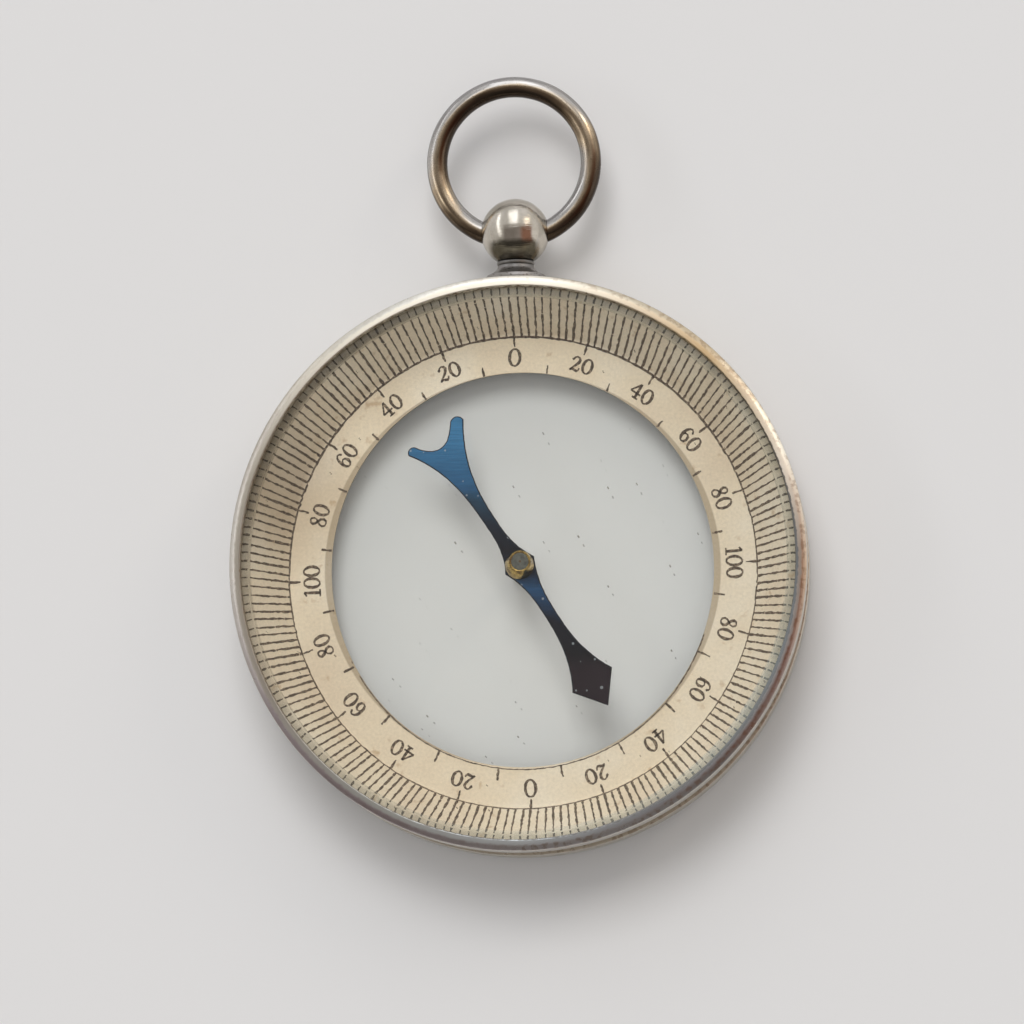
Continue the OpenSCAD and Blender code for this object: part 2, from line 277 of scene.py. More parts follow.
def bezel_metal(name, crest_wear_and_sheen, inner_wear_and_sheen, clean, dull):
    """Spun nickel plate, worn satin. The eye gets a bead whose crest goes from silver to bare brass
    round the rim, an inner slope with its own tarnish, and a line at the glass that is partly
    dirt and partly painted shade. Crest, slope and line take their colours by bearing round the
    rim, which also paints highlight and reflection: white at the top, blue-grey and darker inside
    the lip to the right and bottom, where the line at the glass is also widened."""
    material, tree, shader, coat = plated_nickel(name, clean, dull, "#6a5136", 0.27, 0.34,
                                                 ("Z", (0, 0, 0), 0.8), 0.008, 0.1)
    gloss = shader.inputs["Roughness"].links[0].from_socket
    _, share, radius = unrolled(tree, "Z", (0, 0, 0), 1.0)
    patch = mottling(tree, 0.3, 5.0)
    ragged = add(tree, "Math", {"operation": "MULTIPLY_ADD", 1: 0.2 * MM}, {0: patch, 2: radius})
    crest = add(tree, "ValToRGB", {"stops": crest_wear_and_sheen}, {"Fac": share})
    inner = add(tree, "ValToRGB", {"stops": inner_wear_and_sheen}, {"Fac": share})
    tinted = add(tree, "Mix", {"data_type": "RGBA", 0: 0.88}, {6: coat, 7: crest})
    flaked = add(tree, "MapRange", {"From Min": 0.50, "From Max": 0.60}, {"Value": patch})
    to_right = add(tree, "MapRange", {"From Min": 0.46, "From Max": 0.60, "To Min": 0.1, "To Max": 0.45},
                   {"Value": share})
    lost = add(tree, "Math", {"operation": "MULTIPLY"}, {0: flaked, 1: to_right})
    worn = add(tree, "Mix", {"data_type": "RGBA", 7: "#94765c"}, {0: lost, 6: tinted})
    on_top = add(tree, "MapRange", {"From Min": CASE_R * MM, "From Max": (CASE_R - 0.04) * MM},
                 {"Value": radius})
    topped = add(tree, "Mix", {"data_type": "RGBA"}, {0: on_top, 6: coat, 7: worn})
    slope = add(tree, "MapRange",
                {"From Min": (LIP_R + SLOPE_END) * MM, "From Max": (LIP_R + SLOPE_FULL) * MM},
                {"Value": ragged})
    sloped = add(tree, "Mix", {"data_type": "RGBA"}, {0: slope, 6: topped, 7: inner})
    # Painted shade: the dark line at the glass is widened by bearing, most at the lower right and bottom,
    # least at the upper left
    reach = add(tree, "ValToRGB", {"stops": [
        (0.0, "#898989"), (0.25, "#000000"), (0.6, "#000000"), (0.69, "#a8a8a8"), (0.75, "#dadada"),
        (0.85, "#ffffff"), (0.93, "#bcbcbc"), (1.0, "#898989")]}, {"Fac": share})
    crept = add(tree, "Math", {"operation": "MULTIPLY_ADD", 1: -0.2 * MM}, {0: reach, 2: ragged})
    at_glass = add(tree, "MapRange", {"From Min": (LIP_R + 0.12) * MM, "From Max": (LIP_R + 0.08) * MM},
                   {"Value": crept})
    # The line at the glass: brown dirt to the left and top, and painted shade and reflection in blue-grey
    # to the right and bottom
    dirt = add(tree, "ValToRGB", {"stops": [
        (0.0, "#868584"), (0.22, "#8d7b66"), (0.44, "#8f7a60"), (0.52, "#6f573d"), (0.62, "#6b5b46"),
        (0.69, "#615a50"), (0.75, "#6d6f70"), (0.81, "#7c8082"), (0.9, "#7b7b79"),
        (1.0, "#868584")]}, {"Fac": share})
    glass_line_dirt_and_shade = add(tree, "Mix", {"data_type": "RGBA"}, {0: at_glass, 6: sloped, 7: dirt})
    bare = add(tree, "MapRange", {"To Min": 1.0, "To Max": 0.15}, {"Value": at_glass})
    rubbed = add(tree, "Mix", {"data_type": "FLOAT", 3: 0.5}, {0: slope, 2: gloss})
    connect(tree, shader, {"Base Color": glass_line_dirt_and_shade, "Roughness": rubbed, "Metallic": bare})
    return material


# Crest and inner colours by bearing: brass wear, with a painted highlight at the top and right and a
# painted blue-grey reflection inside the lip to the lower right
front_bezel = bezel("front_bezel_rim", True)
front_bezel.data.materials.append(bezel_metal(
    "nickel_plate_spun_worn_to_brass",
    [(0.00, "#d6cfd0"), (0.08, "#b8a8ad"), (0.16, "#93868a"), (0.25, "#cfcac2"), (0.33, "#b7b0a6"),
     (0.38, "#cdc6b8"), (0.45, "#f0ede4"), (0.51, "#efe8da"), (0.55, "#d3cab6"), (0.62, "#c6b291"),
     (0.69, "#faf3e4"), (0.76, "#d2b497"), (0.81, "#a8948f"), (0.88, "#9b9ea4"), (0.93, "#c2c0c2"),
     (1.00, "#d6cfd0")],
    [(0.00, "#e2e8ea"), (0.08, "#c9cac4"), (0.18, "#b0a79b"), (0.30, "#b5aea0"), (0.42, "#f3ecdc"),
     (0.52, "#f3ecdc"), (0.62, "#cdb38a"), (0.70, "#f4ecdd"), (0.75, "#b8afa4"), (0.82, "#bcc0c2"),
     (0.92, "#b4b9be"), (1.00, "#e2e8ea")],
    "#dedacf", "#d1ccc0"))
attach(front_bezel, "case")
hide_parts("front_bezel")

rear_bezel = bezel("rear_bezel_rim", False)
rear_bezel.data.materials.append(bezel_metal(
    "nickel_plate_spun_rear",
    [(0.00, "#d9cfbd"), (0.3, "#dcd6cb"), (0.6, "#cfb48e"), (0.8, "#dcd3c2"), (1.0, "#d9cfbd")],
    [(0.00, "#857d72"), (0.4, "#a39a8b"), (0.8, "#78726a"), (1.0, "#857d72")],
    "#dfdace", "#d0cabe"))
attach(rear_bezel, "case")
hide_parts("rear_bezel")


# Glasses: two discs of window-type glass, cut round, with a bevel ground and polished on the
# outer edge. They are clamped under the lips. The rear one is drilled for the pivot's stud.
GLASS_R, GLASS_IN, GLASS_OUT = 15.55, 1.2, 0.35
BEVEL_IN_R, BEVEL_OUT_R, BEVEL_DROP = 14.9, 15.35, 0.025
AIR = 0.012
SHANK_HOLE_R = 0.41


def specks(tree, spacing, rarity, size, draw, strength):
    """Round specks of dust, strewn at a spacing in millimetres. Each place draws a number: below
    rarity it has no speck, and above that the speck is larger, up to size times the spacing."""
    space = add(tree, "TexCoord")
    spread = add(tree, "TexVoronoi", {"voronoi_dimensions": "2D", "Scale": 1 / (spacing * MM)},
                 {"Vector": space.outputs["Object"]})
    luck = add(tree, "SeparateColor", None, {"Color": spread.outputs["Color"]})
    sized = add(tree, "MapRange", {"From Min": rarity, "From Max": 1.0, "To Max": size},
                {"Value": luck.outputs[draw]})
    near = add(tree, "Math", {"operation": "LESS_THAN"}, {0: spread.outputs["Distance"], 1: sized})
    return add(tree, "Math", {"operation": "MULTIPLY", 1: strength}, {0: near})


def cut_glass(name, dust, haze_stops, film_shade_and_light_colours):
    """Soda-lime glass, cut and polished. The eye gets a clear pane with faint swirl, dust specks of
    under 0.1 mm, and on the bevel a grey film that no rubbing reaches, thickest at the upper left
    and the lower right. The film's colour, set by bearing, is painted shade, dark at the upper left,
    and painted light, pale at the lower right, and a thin pale line where the bevel begins is a
    painted glint of its edge. Soft light passes unbent to the dial."""
    material, tree, shader = new_material(name, {
        "Roughness": 0.0, "IOR": 1.52, "Transmission Weight": 1.0, "Base Color": "#ffffff"})
    _, share, radius = unrolled(tree, "Z", (0, 0, 0), 1.0)
    thick = specks(tree, 1.7, 0.6, 0.028, "Red", dust)
    swirl = mottling(tree, 3.0, 2.0)
    wave = add(tree, "Bump", {"Strength": 0.05, "Distance": 0.01 * MM}, {"Height": swirl})
    connect(tree, shader, {"Normal": wave})
    clear = add(tree, "BsdfTransparent", {"Color": "#fefffe"})
    path = add(tree, "LightPath")
    soft = add(tree, "Math", {"operation": "MAXIMUM"},
               {0: path.outputs["Is Shadow Ray"], 1: path.outputs["Is Diffuse Ray"]})
    clean_glass = add(tree, "MixShader", None, {0: soft, 1: shader, 2: clear})
    amount = add(tree, "ValToRGB", {"stops": haze_stops}, {"Fac": share})
    margin = add(tree, "MapRange",
                 {"From Min": (BEVEL_IN_R - 0.04) * MM, "From Max": (BEVEL_IN_R + 0.03) * MM},
                 {"Value": radius})
    film = mottling(tree, 0.8, 4.0)
    patchy = add(tree, "MapRange", {"From Min": 0.35, "From Max": 0.65, "To Min": 0.6, "To Max": 1.4},
                 {"Value": film})
    spread_film = add(tree, "Math", {"operation": "MULTIPLY"}, {0: margin, 1: patchy})
    filmed = add(tree, "Math", {"operation": "MULTIPLY"}, {0: spread_film, 1: amount})
    # Painted glint: a thin pale line where the bevel begins
    painted_glint_line = add(tree, "Math", {"operation": "COMPARE", 1: (BEVEL_IN_R + 0.005) * MM, 2: 0.025 * MM},
                   {0: radius})
    film_and_glint = add(tree, "Math", {"operation": "MULTIPLY_ADD", 1: 0.08}, {0: painted_glint_line, 2: filmed})
    # Painted shade and light: the film is dark at the upper left and pale at the lower right
    film_painted_shade_and_light = add(tree, "ValToRGB", {"stops": film_shade_and_light_colours}, {"Fac": share})
    grey = add(tree, "BsdfDiffuse", None, {"Color": film_painted_shade_and_light})
    dirt = add(tree, "BsdfDiffuse", {"Color": "#6b5d4b"})
    hazy = add(tree, "MixShader", None, {0: film_and_glint, 1: clean_glass, 2: grey})
    dusty = add(tree, "MixShader", None, {0: thick, 1: hazy, 2: dirt})
    connect(tree, tree.nodes["Material Output"], {"Surface": dusty})
    return material


def pane(name, front, hole):
    corners = [(hole, GLASS_OUT), (BEVEL_IN_R, GLASS_OUT, 0.02),
               (BEVEL_OUT_R, GLASS_OUT + BEVEL_DROP, 0.02),
               (BEVEL_OUT_R, LIP_T), (GLASS_R, LIP_T), (GLASS_R, GLASS_IN - AIR), (hole, GLASS_IN - AIR)]
    if hole:
        corners[0] = (hole, GLASS_OUT, 0.02)
    section = [(r, CASE_T - z if front else z) for r, z in eased(corners)]
    return turned(name, section, turns=360, sharp=12)


# The front film's colours by bearing: painted shade at the upper left, painted light at the lower right
front_glass = pane("front_glass_pane", True, 0.0)
front_glass.data.materials.append(cut_glass("soda_glass_bevelled", 0.6, [
    (0.0, "#6a6a6a"), (0.2, "#606060"), (0.3, "#7c7c7c"), (0.4, "#8a8a8a"), (0.5, "#585858"),
    (0.6, "#5c5c5c"), (0.72, "#5c5c5c"), (0.82, "#8c8c8c"), (0.92, "#808080"), (1.0, "#6a6a6a")], [
    (0.0, "#b4b8ac"), (0.2, "#7e7668"), (0.32, "#5f5848"), (0.42, "#5a5446"), (0.5, "#80806f"),
    (0.62, "#7d8173"), (0.75, "#8e9385"), (0.85, "#b4bdb8"), (1.0, "#b4b8ac")]))
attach(front_glass, "case")
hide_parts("front_glass")

rear_glass = pane("rear_glass_pane", False, SHANK_HOLE_R)
rear_glass.data.materials.append(cut_glass("soda_glass_drilled", 0.35, [
    (0.0, "#606060"), (1.0, "#606060")], [(0.0, "#8f9488"), (1.0, "#8f9488")]))
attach(rear_glass, "case")
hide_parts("rear_glass")


# Dial plate: a thin brass sheet, pressed to a dish that slopes up to the front glass, where its
# rim is clamped on the band. It carries the paper, and its bare underside shows from the back.
HOLE_R, BEND_R, SLOPE_R, RIM_R = 11.03, 13.24, 15.0, 15.5
PLATE_T, CARD_T = 0.2, 0.1
DIAL_Z, RIM_Z = 1.75, 4.8
DISH_T = PLATE_T + CARD_T
BEND_SHIFT = math.tan(math.atan2(RIM_Z - DIAL_Z, SLOPE_R - BEND_R) / 2)


def dish_sway(angle, radius, height=0.0):
    """The dish came out of the press a little oval: narrower to the sides at its hole."""
    fade = max(0.0, (SLOPE_R - radius) / (SLOPE_R - HOLE_R))
    return -(0.14 + 0.19 * math.cos(2 * angle)) * fade


def dish(name, low, high, edge):
    """One layer of the dish, between two depths under the printed face."""
    def layer(depth):
        shift = depth * BEND_SHIFT
        return [(HOLE_R + edge, DIAL_Z - depth), (BEND_R + shift, DIAL_Z - depth),
                (SLOPE_R + shift, RIM_Z - depth), (RIM_R, RIM_Z - depth)]
    lower, upper = layer(low), layer(high)
    corners = [lower[0], lower[1] + (0.12,), lower[2] + (0.08,), lower[3],
               upper[3], upper[2] + (0.08,), upper[1] + (0.12,), upper[0]]
    return turned(name, eased(corners), turns=360, sway=dish_sway)


plate = dish("dial_dish", DISH_T, CARD_T, 0.02)
plate_metal, tree, shader = new_material("brass_sheet_pressed_dull", {"Metallic": 1.0, "Roughness": 0.42})
# Rolled and pressed brass, never polished: a dull straw colour with brown oxide clouds of 2 mm
cloud = mottling(tree, 2.2, 5.0)
lines = mottling(tree, 0.09, 3.0, (1, 0.05, 1))
tone = add(tree, "ValToRGB", {"stops": [(0.3, "#a48d5c"), (0.55, "#8c7648"), (0.75, "#5f4d31")]},
           {"Fac": cloud})
score = add(tree, "Bump", {"Strength": 0.3, "Distance": 0.006 * MM}, {"Height": lines})
connect(tree, shader, {"Base Color": tone, "Normal": score})
plate.data.materials.append(plate_metal)
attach(plate, "case")
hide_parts("dial_plate")


# Dial card: smooth rag paper, printed, cut as a ring and pasted over the whole dish. It has gone
# cream, with brown foxing, darker where it was cut and in a stain at the upper left. Its flat ring
# also carries painted light, paler towards the upper left, where the rim shades it.
card = dish("dial_card_paper", CARD_T, 0.0, 0.0)
card_paper, tree, shader = new_material("rag_paper_pasted_foxed", {
    "Roughness": 0.7, "IOR": 1.45, "Specular IOR Level": 0.3})
# Calendered paper: matt, evenly warm, with fibres of 0.16 mm and foxing spots of up to 1 mm
space = add(tree, "TexCoord")
split = add(tree, "SeparateXYZ", None, {"Vector": space.outputs["Object"]})
fibre = mottling(tree, 0.16, 4.0)
haze = mottling(tree, 4.0, 3.0)
fox = mottling(tree, 0.7, 3.0)
base = add(tree, "ValToRGB", {"stops": [(0.3, "#e2d0b6"), (0.5, "#e8d8be"), (0.7, "#ecdfc9")]},
           {"Fac": haze})
fibrous = add(tree, "MapRange", {"From Min": 0.3, "From Max": 0.7, "To Min": 0.93, "To Max": 1.05},
              {"Value": fibre})
fibred = add(tree, "Mix", {"data_type": "RGBA", "blend_type": "MULTIPLY", 0: 1.0}, {6: base, 7: fibrous})
spots = add(tree, "MapRange", {"From Min": 0.64, "From Max": 0.76, "To Max": 0.5}, {"Value": fox})
foxed = add(tree, "Mix", {"data_type": "RGBA", 7: "#b08a5c"}, {0: spots, 6: fibred})
STAIN_MIDDLE = (-13.6, 4.8, 3.0)
from_stain = add(tree, "VectorMath", {"operation": "DISTANCE", 1: [c * MM for c in STAIN_MIDDLE]},
                 {0: space.outputs["Object"]})
stain = add(tree, "MapRange", {"From Min": 5.5 * MM, "From Max": 1.5 * MM, "To Max": 0.42},
            {"Value": from_stain})
stained = add(tree, "Mix", {"data_type": "RGBA", 7: "#8f7250"}, {0: stain, 6: foxed})
flat = add(tree, "CombineXYZ", None, {"X": split.outputs["X"], "Y": split.outputs["Y"]})
radius = add(tree, "VectorMath", {"operation": "LENGTH"}, {0: flat})
cut_edge = add(tree, "MapRange",
               {"From Min": (HOLE_R + 0.09) * MM, "From Max": (HOLE_R + 0.01) * MM, "To Max": 0.5},
               {"Value": radius})
browned = add(tree, "Mix", {"data_type": "RGBA", 7: "#7b6548"}, {0: cut_edge, 6: stained})
# Painted light: the flat ring is lightened by up to 13 per cent towards the upper left, where the dish and
# rim shade it
toward_upper_left = add(tree, "VectorMath", {"operation": "DOT_PRODUCT", 1: (-0.45, 0.89, 0)},
             {0: space.outputs["Object"]})
painted_light_upper_left = add(tree, "MapRange", {"From Min": 2 * MM, "From Max": 11 * MM, "To Min": 1.0, "To Max": 1.13},
            {"Value": toward_upper_left})
on_flat = add(tree, "MapRange", {"From Min": (BEND_R + 0.1) * MM, "From Max": (BEND_R - 0.1) * MM},
              {"Value": radius})
paper_with_painted_light = add(tree, "Mix", {"data_type": "RGBA", "blend_type": "MULTIPLY"},
            {0: on_flat, 6: browned, 7: painted_light_upper_left})
nap = add(tree, "Bump", {"Strength": 0.25, "Distance": 0.01 * MM}, {"Height": fibre})
connect(tree, shader, {"Base Color": paper_with_painted_light, "Normal": nap})
card.data.materials.append(card_paper)
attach(card, "case")
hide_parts("dial_card")


# Print on the card: 400 grads in steps of two, from an engraved plate, in brown-black ink that
# lies 0.008 mm proud. Lines waver, thin out and break, as they do on the worn plate. The print is
# 0.16 mm low and turned a degree anticlockwise, so its inner circle shows only along the bottom.
PRINT_X, PRINT_Y, PRINT_TURN = 0.01, -0.16, math.radians(-1.1)
INK_RISE, INK_SINK = 0.008, 0.006
INNER_R, TICK_IN_R, MAJOR_R = 11.0, 11.68, 12.66
MARGIN = 0.06
RUN, SLANT, WAVER = 0.12, 0.02, 0.019
random.seed(400)

printed_face = eased([(HOLE_R, DIAL_Z), (BEND_R, DIAL_Z, 0.12), (SLOPE_R, RIM_Z, 0.08),
                      (RIM_R + 0.5, RIM_Z)])


def on_dial(x, y):
    """The printed face over a point of the round plan, pressed oval, and its normal there."""
    r = math.hypot(x, y)
    for (r0, z0), (r1, z1) in zip(printed_face, printed_face[1:]):
        if r <= r1:
            break
    rise = (z1 - z0) / (r1 - r0)
    oval = 1 + dish_sway(math.atan2(y, x), r) / r
    normal = Vector((-rise * x / r, -rise * y / r, 1)).normalized()
    return Vector((x * oval, y * oval, z0 + (r - r0) * rise)), normal


def at_print(bearing, out, side=0.0):
    """A point of the plan, at a bearing and a distance from the print's middle, moved sideways."""
    a = bearing + PRINT_TURN
    return (PRINT_X + out * math.sin(a) + side * math.cos(a),
            PRINT_Y + out * math.cos(a) - side * math.sin(a))


class Ink:
    """Strokes of ink, gathered for one piece."""

    def __init__(self):
        self.verts, self.faces = [], []

    def stroke(self, path, widths):
        """One closed stroke along points of the plan, with a width at each point."""
        start, last = len(self.verts), len(path) - 1
        for i, (x, y) in enumerate(path):
            here, normal = on_dial(x, y)
            ahead, _ = on_dial(*path[min(i + 1, last)])
            behind, _ = on_dial(*path[max(i - 1, 0)])
            across = (ahead - behind).cross(normal).normalized() * widths[i] / 2
            for side in (-1, 1):
                for lift in (INK_RISE, -INK_SINK):
                    self.verts.append(here + across * side + normal * lift)
        for i in range(last):
            a, b = start + 4 * i, start + 4 * i + 4
            for p, q in ((0, 2), (2, 3), (3, 1), (1, 0)):
                self.faces.append((a + p, b + p, b + q, a + q))
        for a in (start, start + 4 * last):
            self.faces.append((a, a + 2, a + 3, a + 1))

    def piece(self, name):
        return new_piece(name, self.verts, self.faces, 60)


def engraved(ink, bearing, first, last, width, breaks=0.0):
    """A radial line that wavers, and may break once."""
    steps = max(3, round(abs(last - first) / RUN))
    path, widths, lean = [], [], random.uniform(-SLANT, SLANT)
    gap = random.randrange(1, steps) if random.random() < breaks else None
    for k in range(steps + 1):
        t = k / steps
        side = lean * t + random.uniform(-WAVER, WAVER)
        thick = width * random.uniform(0.5, 1.3) * (1.12 - 0.24 * t)
        if k in (0, steps):
            thick *= 0.8
        path.append(at_print(bearing, first + (last - first) * t, side))
        widths.append(thick)
        if k == gap and len(path) > 1:
            ink.stroke(path, widths)
            path = [at_print(bearing, first + (last - first) * (t + 0.25 / steps), side)]
            widths = [thick * 0.7]
    if len(path) > 1:
        ink.stroke(path, widths)


scale = Ink()
STEP = 2 * math.pi / 200
for tick in range(200):
    bearing = tick * STEP + random.gauss(0, 0.0012)
    engraved(scale, bearing, BEND_R, RIM_R + MARGIN, random.uniform(0.105, 0.14), 0.5)
for major in range(20):
    engraved(scale, major * 10 * STEP, BEND_R, MAJOR_R, 0.12)
    midway = (major + 0.5) * 10 * STEP
    paper_edge = HOLE_R + MARGIN + 0.12 * math.cos(midway)
    engraved(scale, midway, max(INNER_R, paper_edge), TICK_IN_R + random.uniform(-0.05, 0.06), 0.125)


def ring(ink, out, width, breaks):
    """A printed circle in short runs, left out where it would fall off the paper's edge."""
    path, widths = [], []
    for k in range(501):
        bearing = 2 * math.pi * k / 500
        x, y = at_print(bearing, out + random.uniform(-0.012, 0.012))
        off = math.hypot(x, y) < HOLE_R + 0.035
        if not off:
            path.append((x, y))
            widths.append(width * random.uniform(0.6, 1.25))
        if len(path) > 1 and (off or k == 500 or random.random() < breaks):
            ink.stroke(path, widths)
            path, widths = ([], []) if off else ([path[-1]], [widths[-1]])
        elif off:
            path, widths = [], []


ring(scale, BEND_R, 0.135, 0.03)
ring(scale, INNER_R, 0.07, 0.1)

# Numerals 1 mm high in the round-serif style of engraved dials: each is a few strokes across a
# box one unit high, as points with a width, the heads outwards
DIGITS = {
    "0": (0.72, [[(0.27 * math.sin(a), 0.44 * math.cos(a), 0.07 + 0.12 * abs(math.sin(a)) ** 1.6)
                  for a in [2 * math.pi * k / 28 for k in range(29)]]]),
    "1": (0.52, [[(0.02, 0.46, 0.12), (0.02, 0.2, 0.19), (0.02, -0.2, 0.19), (0.02, -0.45, 0.17)],
                 [(-0.2, -0.45, 0.05), (-0.06, -0.445, 0.08), (0.1, -0.445, 0.08), (0.24, -0.45, 0.05)],
                 [(-0.18, 0.3, 0.05), (-0.08, 0.36, 0.07), (0.02, 0.45, 0.08)]]),
    "2": (0.74, [[(-0.17, 0.18, 0.1), (-0.21, 0.25, 0.17), (-0.15, 0.31, 0.1), (-0.12, 0.38, 0.07),
                  (0.0, 0.445, 0.07), (0.13, 0.4, 0.13), (0.2, 0.27, 0.2), (0.17, 0.1, 0.19),
                  (0.05, -0.08, 0.12), (-0.1, -0.24, 0.08), (-0.22, -0.38, 0.07), (-0.26, -0.46, 0.06)],
                 [(-0.25, -0.42, 0.08), (-0.12, -0.36, 0.12), (0.02, -0.39, 0.17), (0.16, -0.43, 0.14),
                  (0.25, -0.36, 0.08), (0.28, -0.22, 0.05)]]),
    "4": (0.76, [[(0.1, 0.46, 0.1), (0.1, 0.2, 0.18), (0.1, -0.2, 0.18), (0.1, -0.45, 0.16)],
                 [(0.08, 0.44, 0.06), (-0.08, 0.18, 0.07), (-0.22, -0.02, 0.07), (-0.33, -0.17, 0.06)],
                 [(-0.34, -0.18, 0.06), (-0.1, -0.17, 0.08), (0.15, -0.17, 0.08), (0.33, -0.16, 0.06)],
                 [(-0.09, -0.45, 0.06), (0.1, -0.445, 0.09), (0.29, -0.45, 0.06)]]),
    "6": (0.74, [[(0.17, 0.27, 0.09), (0.2, 0.32, 0.15), (0.13, 0.41, 0.08), (0.02, 0.45, 0.06),
                  (-0.12, 0.36, 0.1), (-0.21, 0.18, 0.17), (-0.235, -0.05, 0.2), (-0.19, -0.28, 0.18),
                  (-0.08, -0.42, 0.1), (0.03, -0.45, 0.06), (0.16, -0.38, 0.12), (0.225, -0.2, 0.19),
                  (0.16, -0.01, 0.14), (0.03, 0.06, 0.06), (-0.1, 0.01, 0.06), (-0.2, -0.12, 0.05)]]),
    "8": (0.74, [[(0.02, 0.45, 0.05), (-0.13, 0.4, 0.1), (-0.19, 0.27, 0.17), (-0.12, 0.12, 0.17),
                  (0.03, 0.0, 0.17), (0.18, -0.12, 0.18), (0.23, -0.26, 0.17), (0.14, -0.41, 0.09),
                  (0.0, -0.45, 0.05), (-0.15, -0.4, 0.09), (-0.22, -0.26, 0.12), (-0.15, -0.1, 0.08),
                  (0.0, 0.01, 0.06), (0.13, 0.12, 0.07), (0.18, 0.27, 0.1), (0.12, 0.4, 0.08),
                  (0.02, 0.45, 0.05)]]),
}
NUMERAL_R = 12.07
# Height and breadth of the two zeros, and of all other numerals
ZERO_SIZE, NUMERAL_SIZE = (1.1, 1.08), (0.93, 0.94)
numerals = Ink()
for place in range(20):
    value = [0, 20, 40, 60, 80, 100, 80, 60, 40, 20][place % 10]
    high, broad = ZERO_SIZE if value == 0 else NUMERAL_SIZE
    advance = [DIGITS[c][0] * broad for c in str(value)]
    pen = -sum(advance) / 2
    for digit, wide in zip(str(value), advance):
        lean = random.uniform(-0.05, 0.05)
        for points in DIGITS[digit][1]:
            path = []
            for x, y, _ in points:
                side = pen + wide / 2 + (x + lean * y) * broad + random.uniform(-0.008, 0.008)
                out = NUMERAL_R + y * high + random.uniform(-0.008, 0.008)
                path.append(at_print(place * 10 * STEP, out, side))
            numerals.stroke(path, [(0.055 + 0.62 * w) * random.uniform(0.85, 1.15) for _, _, w in points])
        pen += wide

# Printer's ink, laid on by an engraved plate: matt, brown-black, thin enough to show paper in
# places, with starved patches of 0.1 mm
ink_black, tree, shader = new_material("printing_ink_engraved", {"Roughness": 0.65})
starved = mottling(tree, 0.1, 4.0)
tone = add(tree, "ValToRGB", {"stops": [(0.33, "#44382d"), (0.52, "#5c4e41"), (0.66, "#9c8a73")]},
           {"Fac": starved})
connect(tree, shader, {"Base Color": tone})
for ink, name in ((scale, "scale_print"), (numerals, "numeral_print")):
    printed = ink.piece(name)
    printed.data.materials.append(ink_black)
    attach(printed, "case")


# Pivot: a brass stud riveted through the rear glass over a washer, and in it a hard steel pin,
# ground to the point that the needle's jewel rides on. From the front it hides under the needle.
RIVET_LOW, RIVET_R, SPREAD_R, WASHER_LOW, WASHER_R = 0.1, 0.45, 0.53, 0.2, 0.65
SHANK_R, FLANGE_R, FLANGE_TOP, STUD_R, STUD_TOP = 0.4, 0.55, 1.5, 0.35, 2.92
PIN_HOLE_R, PIN_HOLE_LOW = 0.16, 1.62
PIN_R, PIN_LOW, POINT_R, POINT_LOW, POINT_TOP = 0.15, 1.63, 0.02, 3.72, 4.22


def turned_brass(name, bright, dark, roughness):
    """Brass rod, turned on a small lathe. The eye gets warm yellow, clouded with brown, and pits of
    0.04 mm that dull it a little."""
    material, tree, shader = new_material(name, {"Metallic": 1.0, "Roughness": roughness})
    cloud = mottling(tree, 0.35, 4.0)
    pores = mottling(tree, 0.04, 2.0)
    tone = add(tree, "ValToRGB", {"stops": [(0.35, bright), (0.72, dark)]}, {"Fac": cloud})
    score = add(tree, "Bump", {"Strength": 0.2, "Distance": 0.004 * MM}, {"Height": pores})
    connect(tree, shader, {"Base Color": tone, "Normal": score})
    return material


stud_brass = turned_brass("brass_turned_dull", "#b3924e", "#6d5330", 0.33)
stud = turned("pivot_stud_post", eased([
    (0, RIVET_LOW), (RIVET_R, RIVET_LOW, 0.06), (SPREAD_R, WASHER_LOW, 0.02), (SHANK_R, WASHER_LOW),
    (SHANK_R, GLASS_IN), (FLANGE_R, GLASS_IN), (FLANGE_R, FLANGE_TOP, 0.03), (STUD_R, FLANGE_TOP),
    (STUD_R, STUD_TOP, 0.05), (PIN_HOLE_R, STUD_TOP), (PIN_HOLE_R, PIN_HOLE_LOW),
    (0, PIN_HOLE_LOW)]), turns=64)
stud.data.materials.append(stud_brass)
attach(stud, "case")
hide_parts("pivot_stud")

washer = turned("pivot_washer_ring", eased([
    (SHANK_HOLE_R, WASHER_LOW), (WASHER_R, WASHER_LOW, 0.03), (WASHER_R, GLASS_OUT),
    (SHANK_HOLE_R, GLASS_OUT)]), turns=64)
washer.data.materials.append(stud_brass)
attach(washer, "case")
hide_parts("pivot_washer")

pin = turned("pivot_pin_point", [
    (0, PIN_LOW), (PIN_R, PIN_LOW), (PIN_R, POINT_LOW), (POINT_R, POINT_TOP), (0, POINT_TOP)], turns=48)
pin_steel, tree, shader = new_material("tool_steel_ground", {"Metallic": 1.0, "Roughness": 0.25})
# Hardened steel, ground: grey, with grinding rings of 0.02 mm, drawn at 0.04 mm so that they show
rings = mottling(tree, 0.04, 2.0, (0.1, 0.1, 1))
tone = add(tree, "ValToRGB", {"stops": [(0.3, "#8a8c8f"), (0.7, "#6b6c70")]}, {"Fac": rings})
connect(tree, shader, {"Base Color": tone})
pin.data.materials.append(pin_steel)
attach(pin, "case")
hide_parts("pivot_pin")


# Needle blade: spring steel, sawn and filed to a fork and an arrow, rubbed with fine emery and
# blued by heat. The fork is bright blue, the middle navy and the arrow went past blue to brown.
FORK_LEN, ARROW_LEN, ARROW_POINT = 8.87, 9.25, 1.68
BOSS_HALF, WAIST_HALF, ARROW_HALF = 0.95, 0.33, 1.3
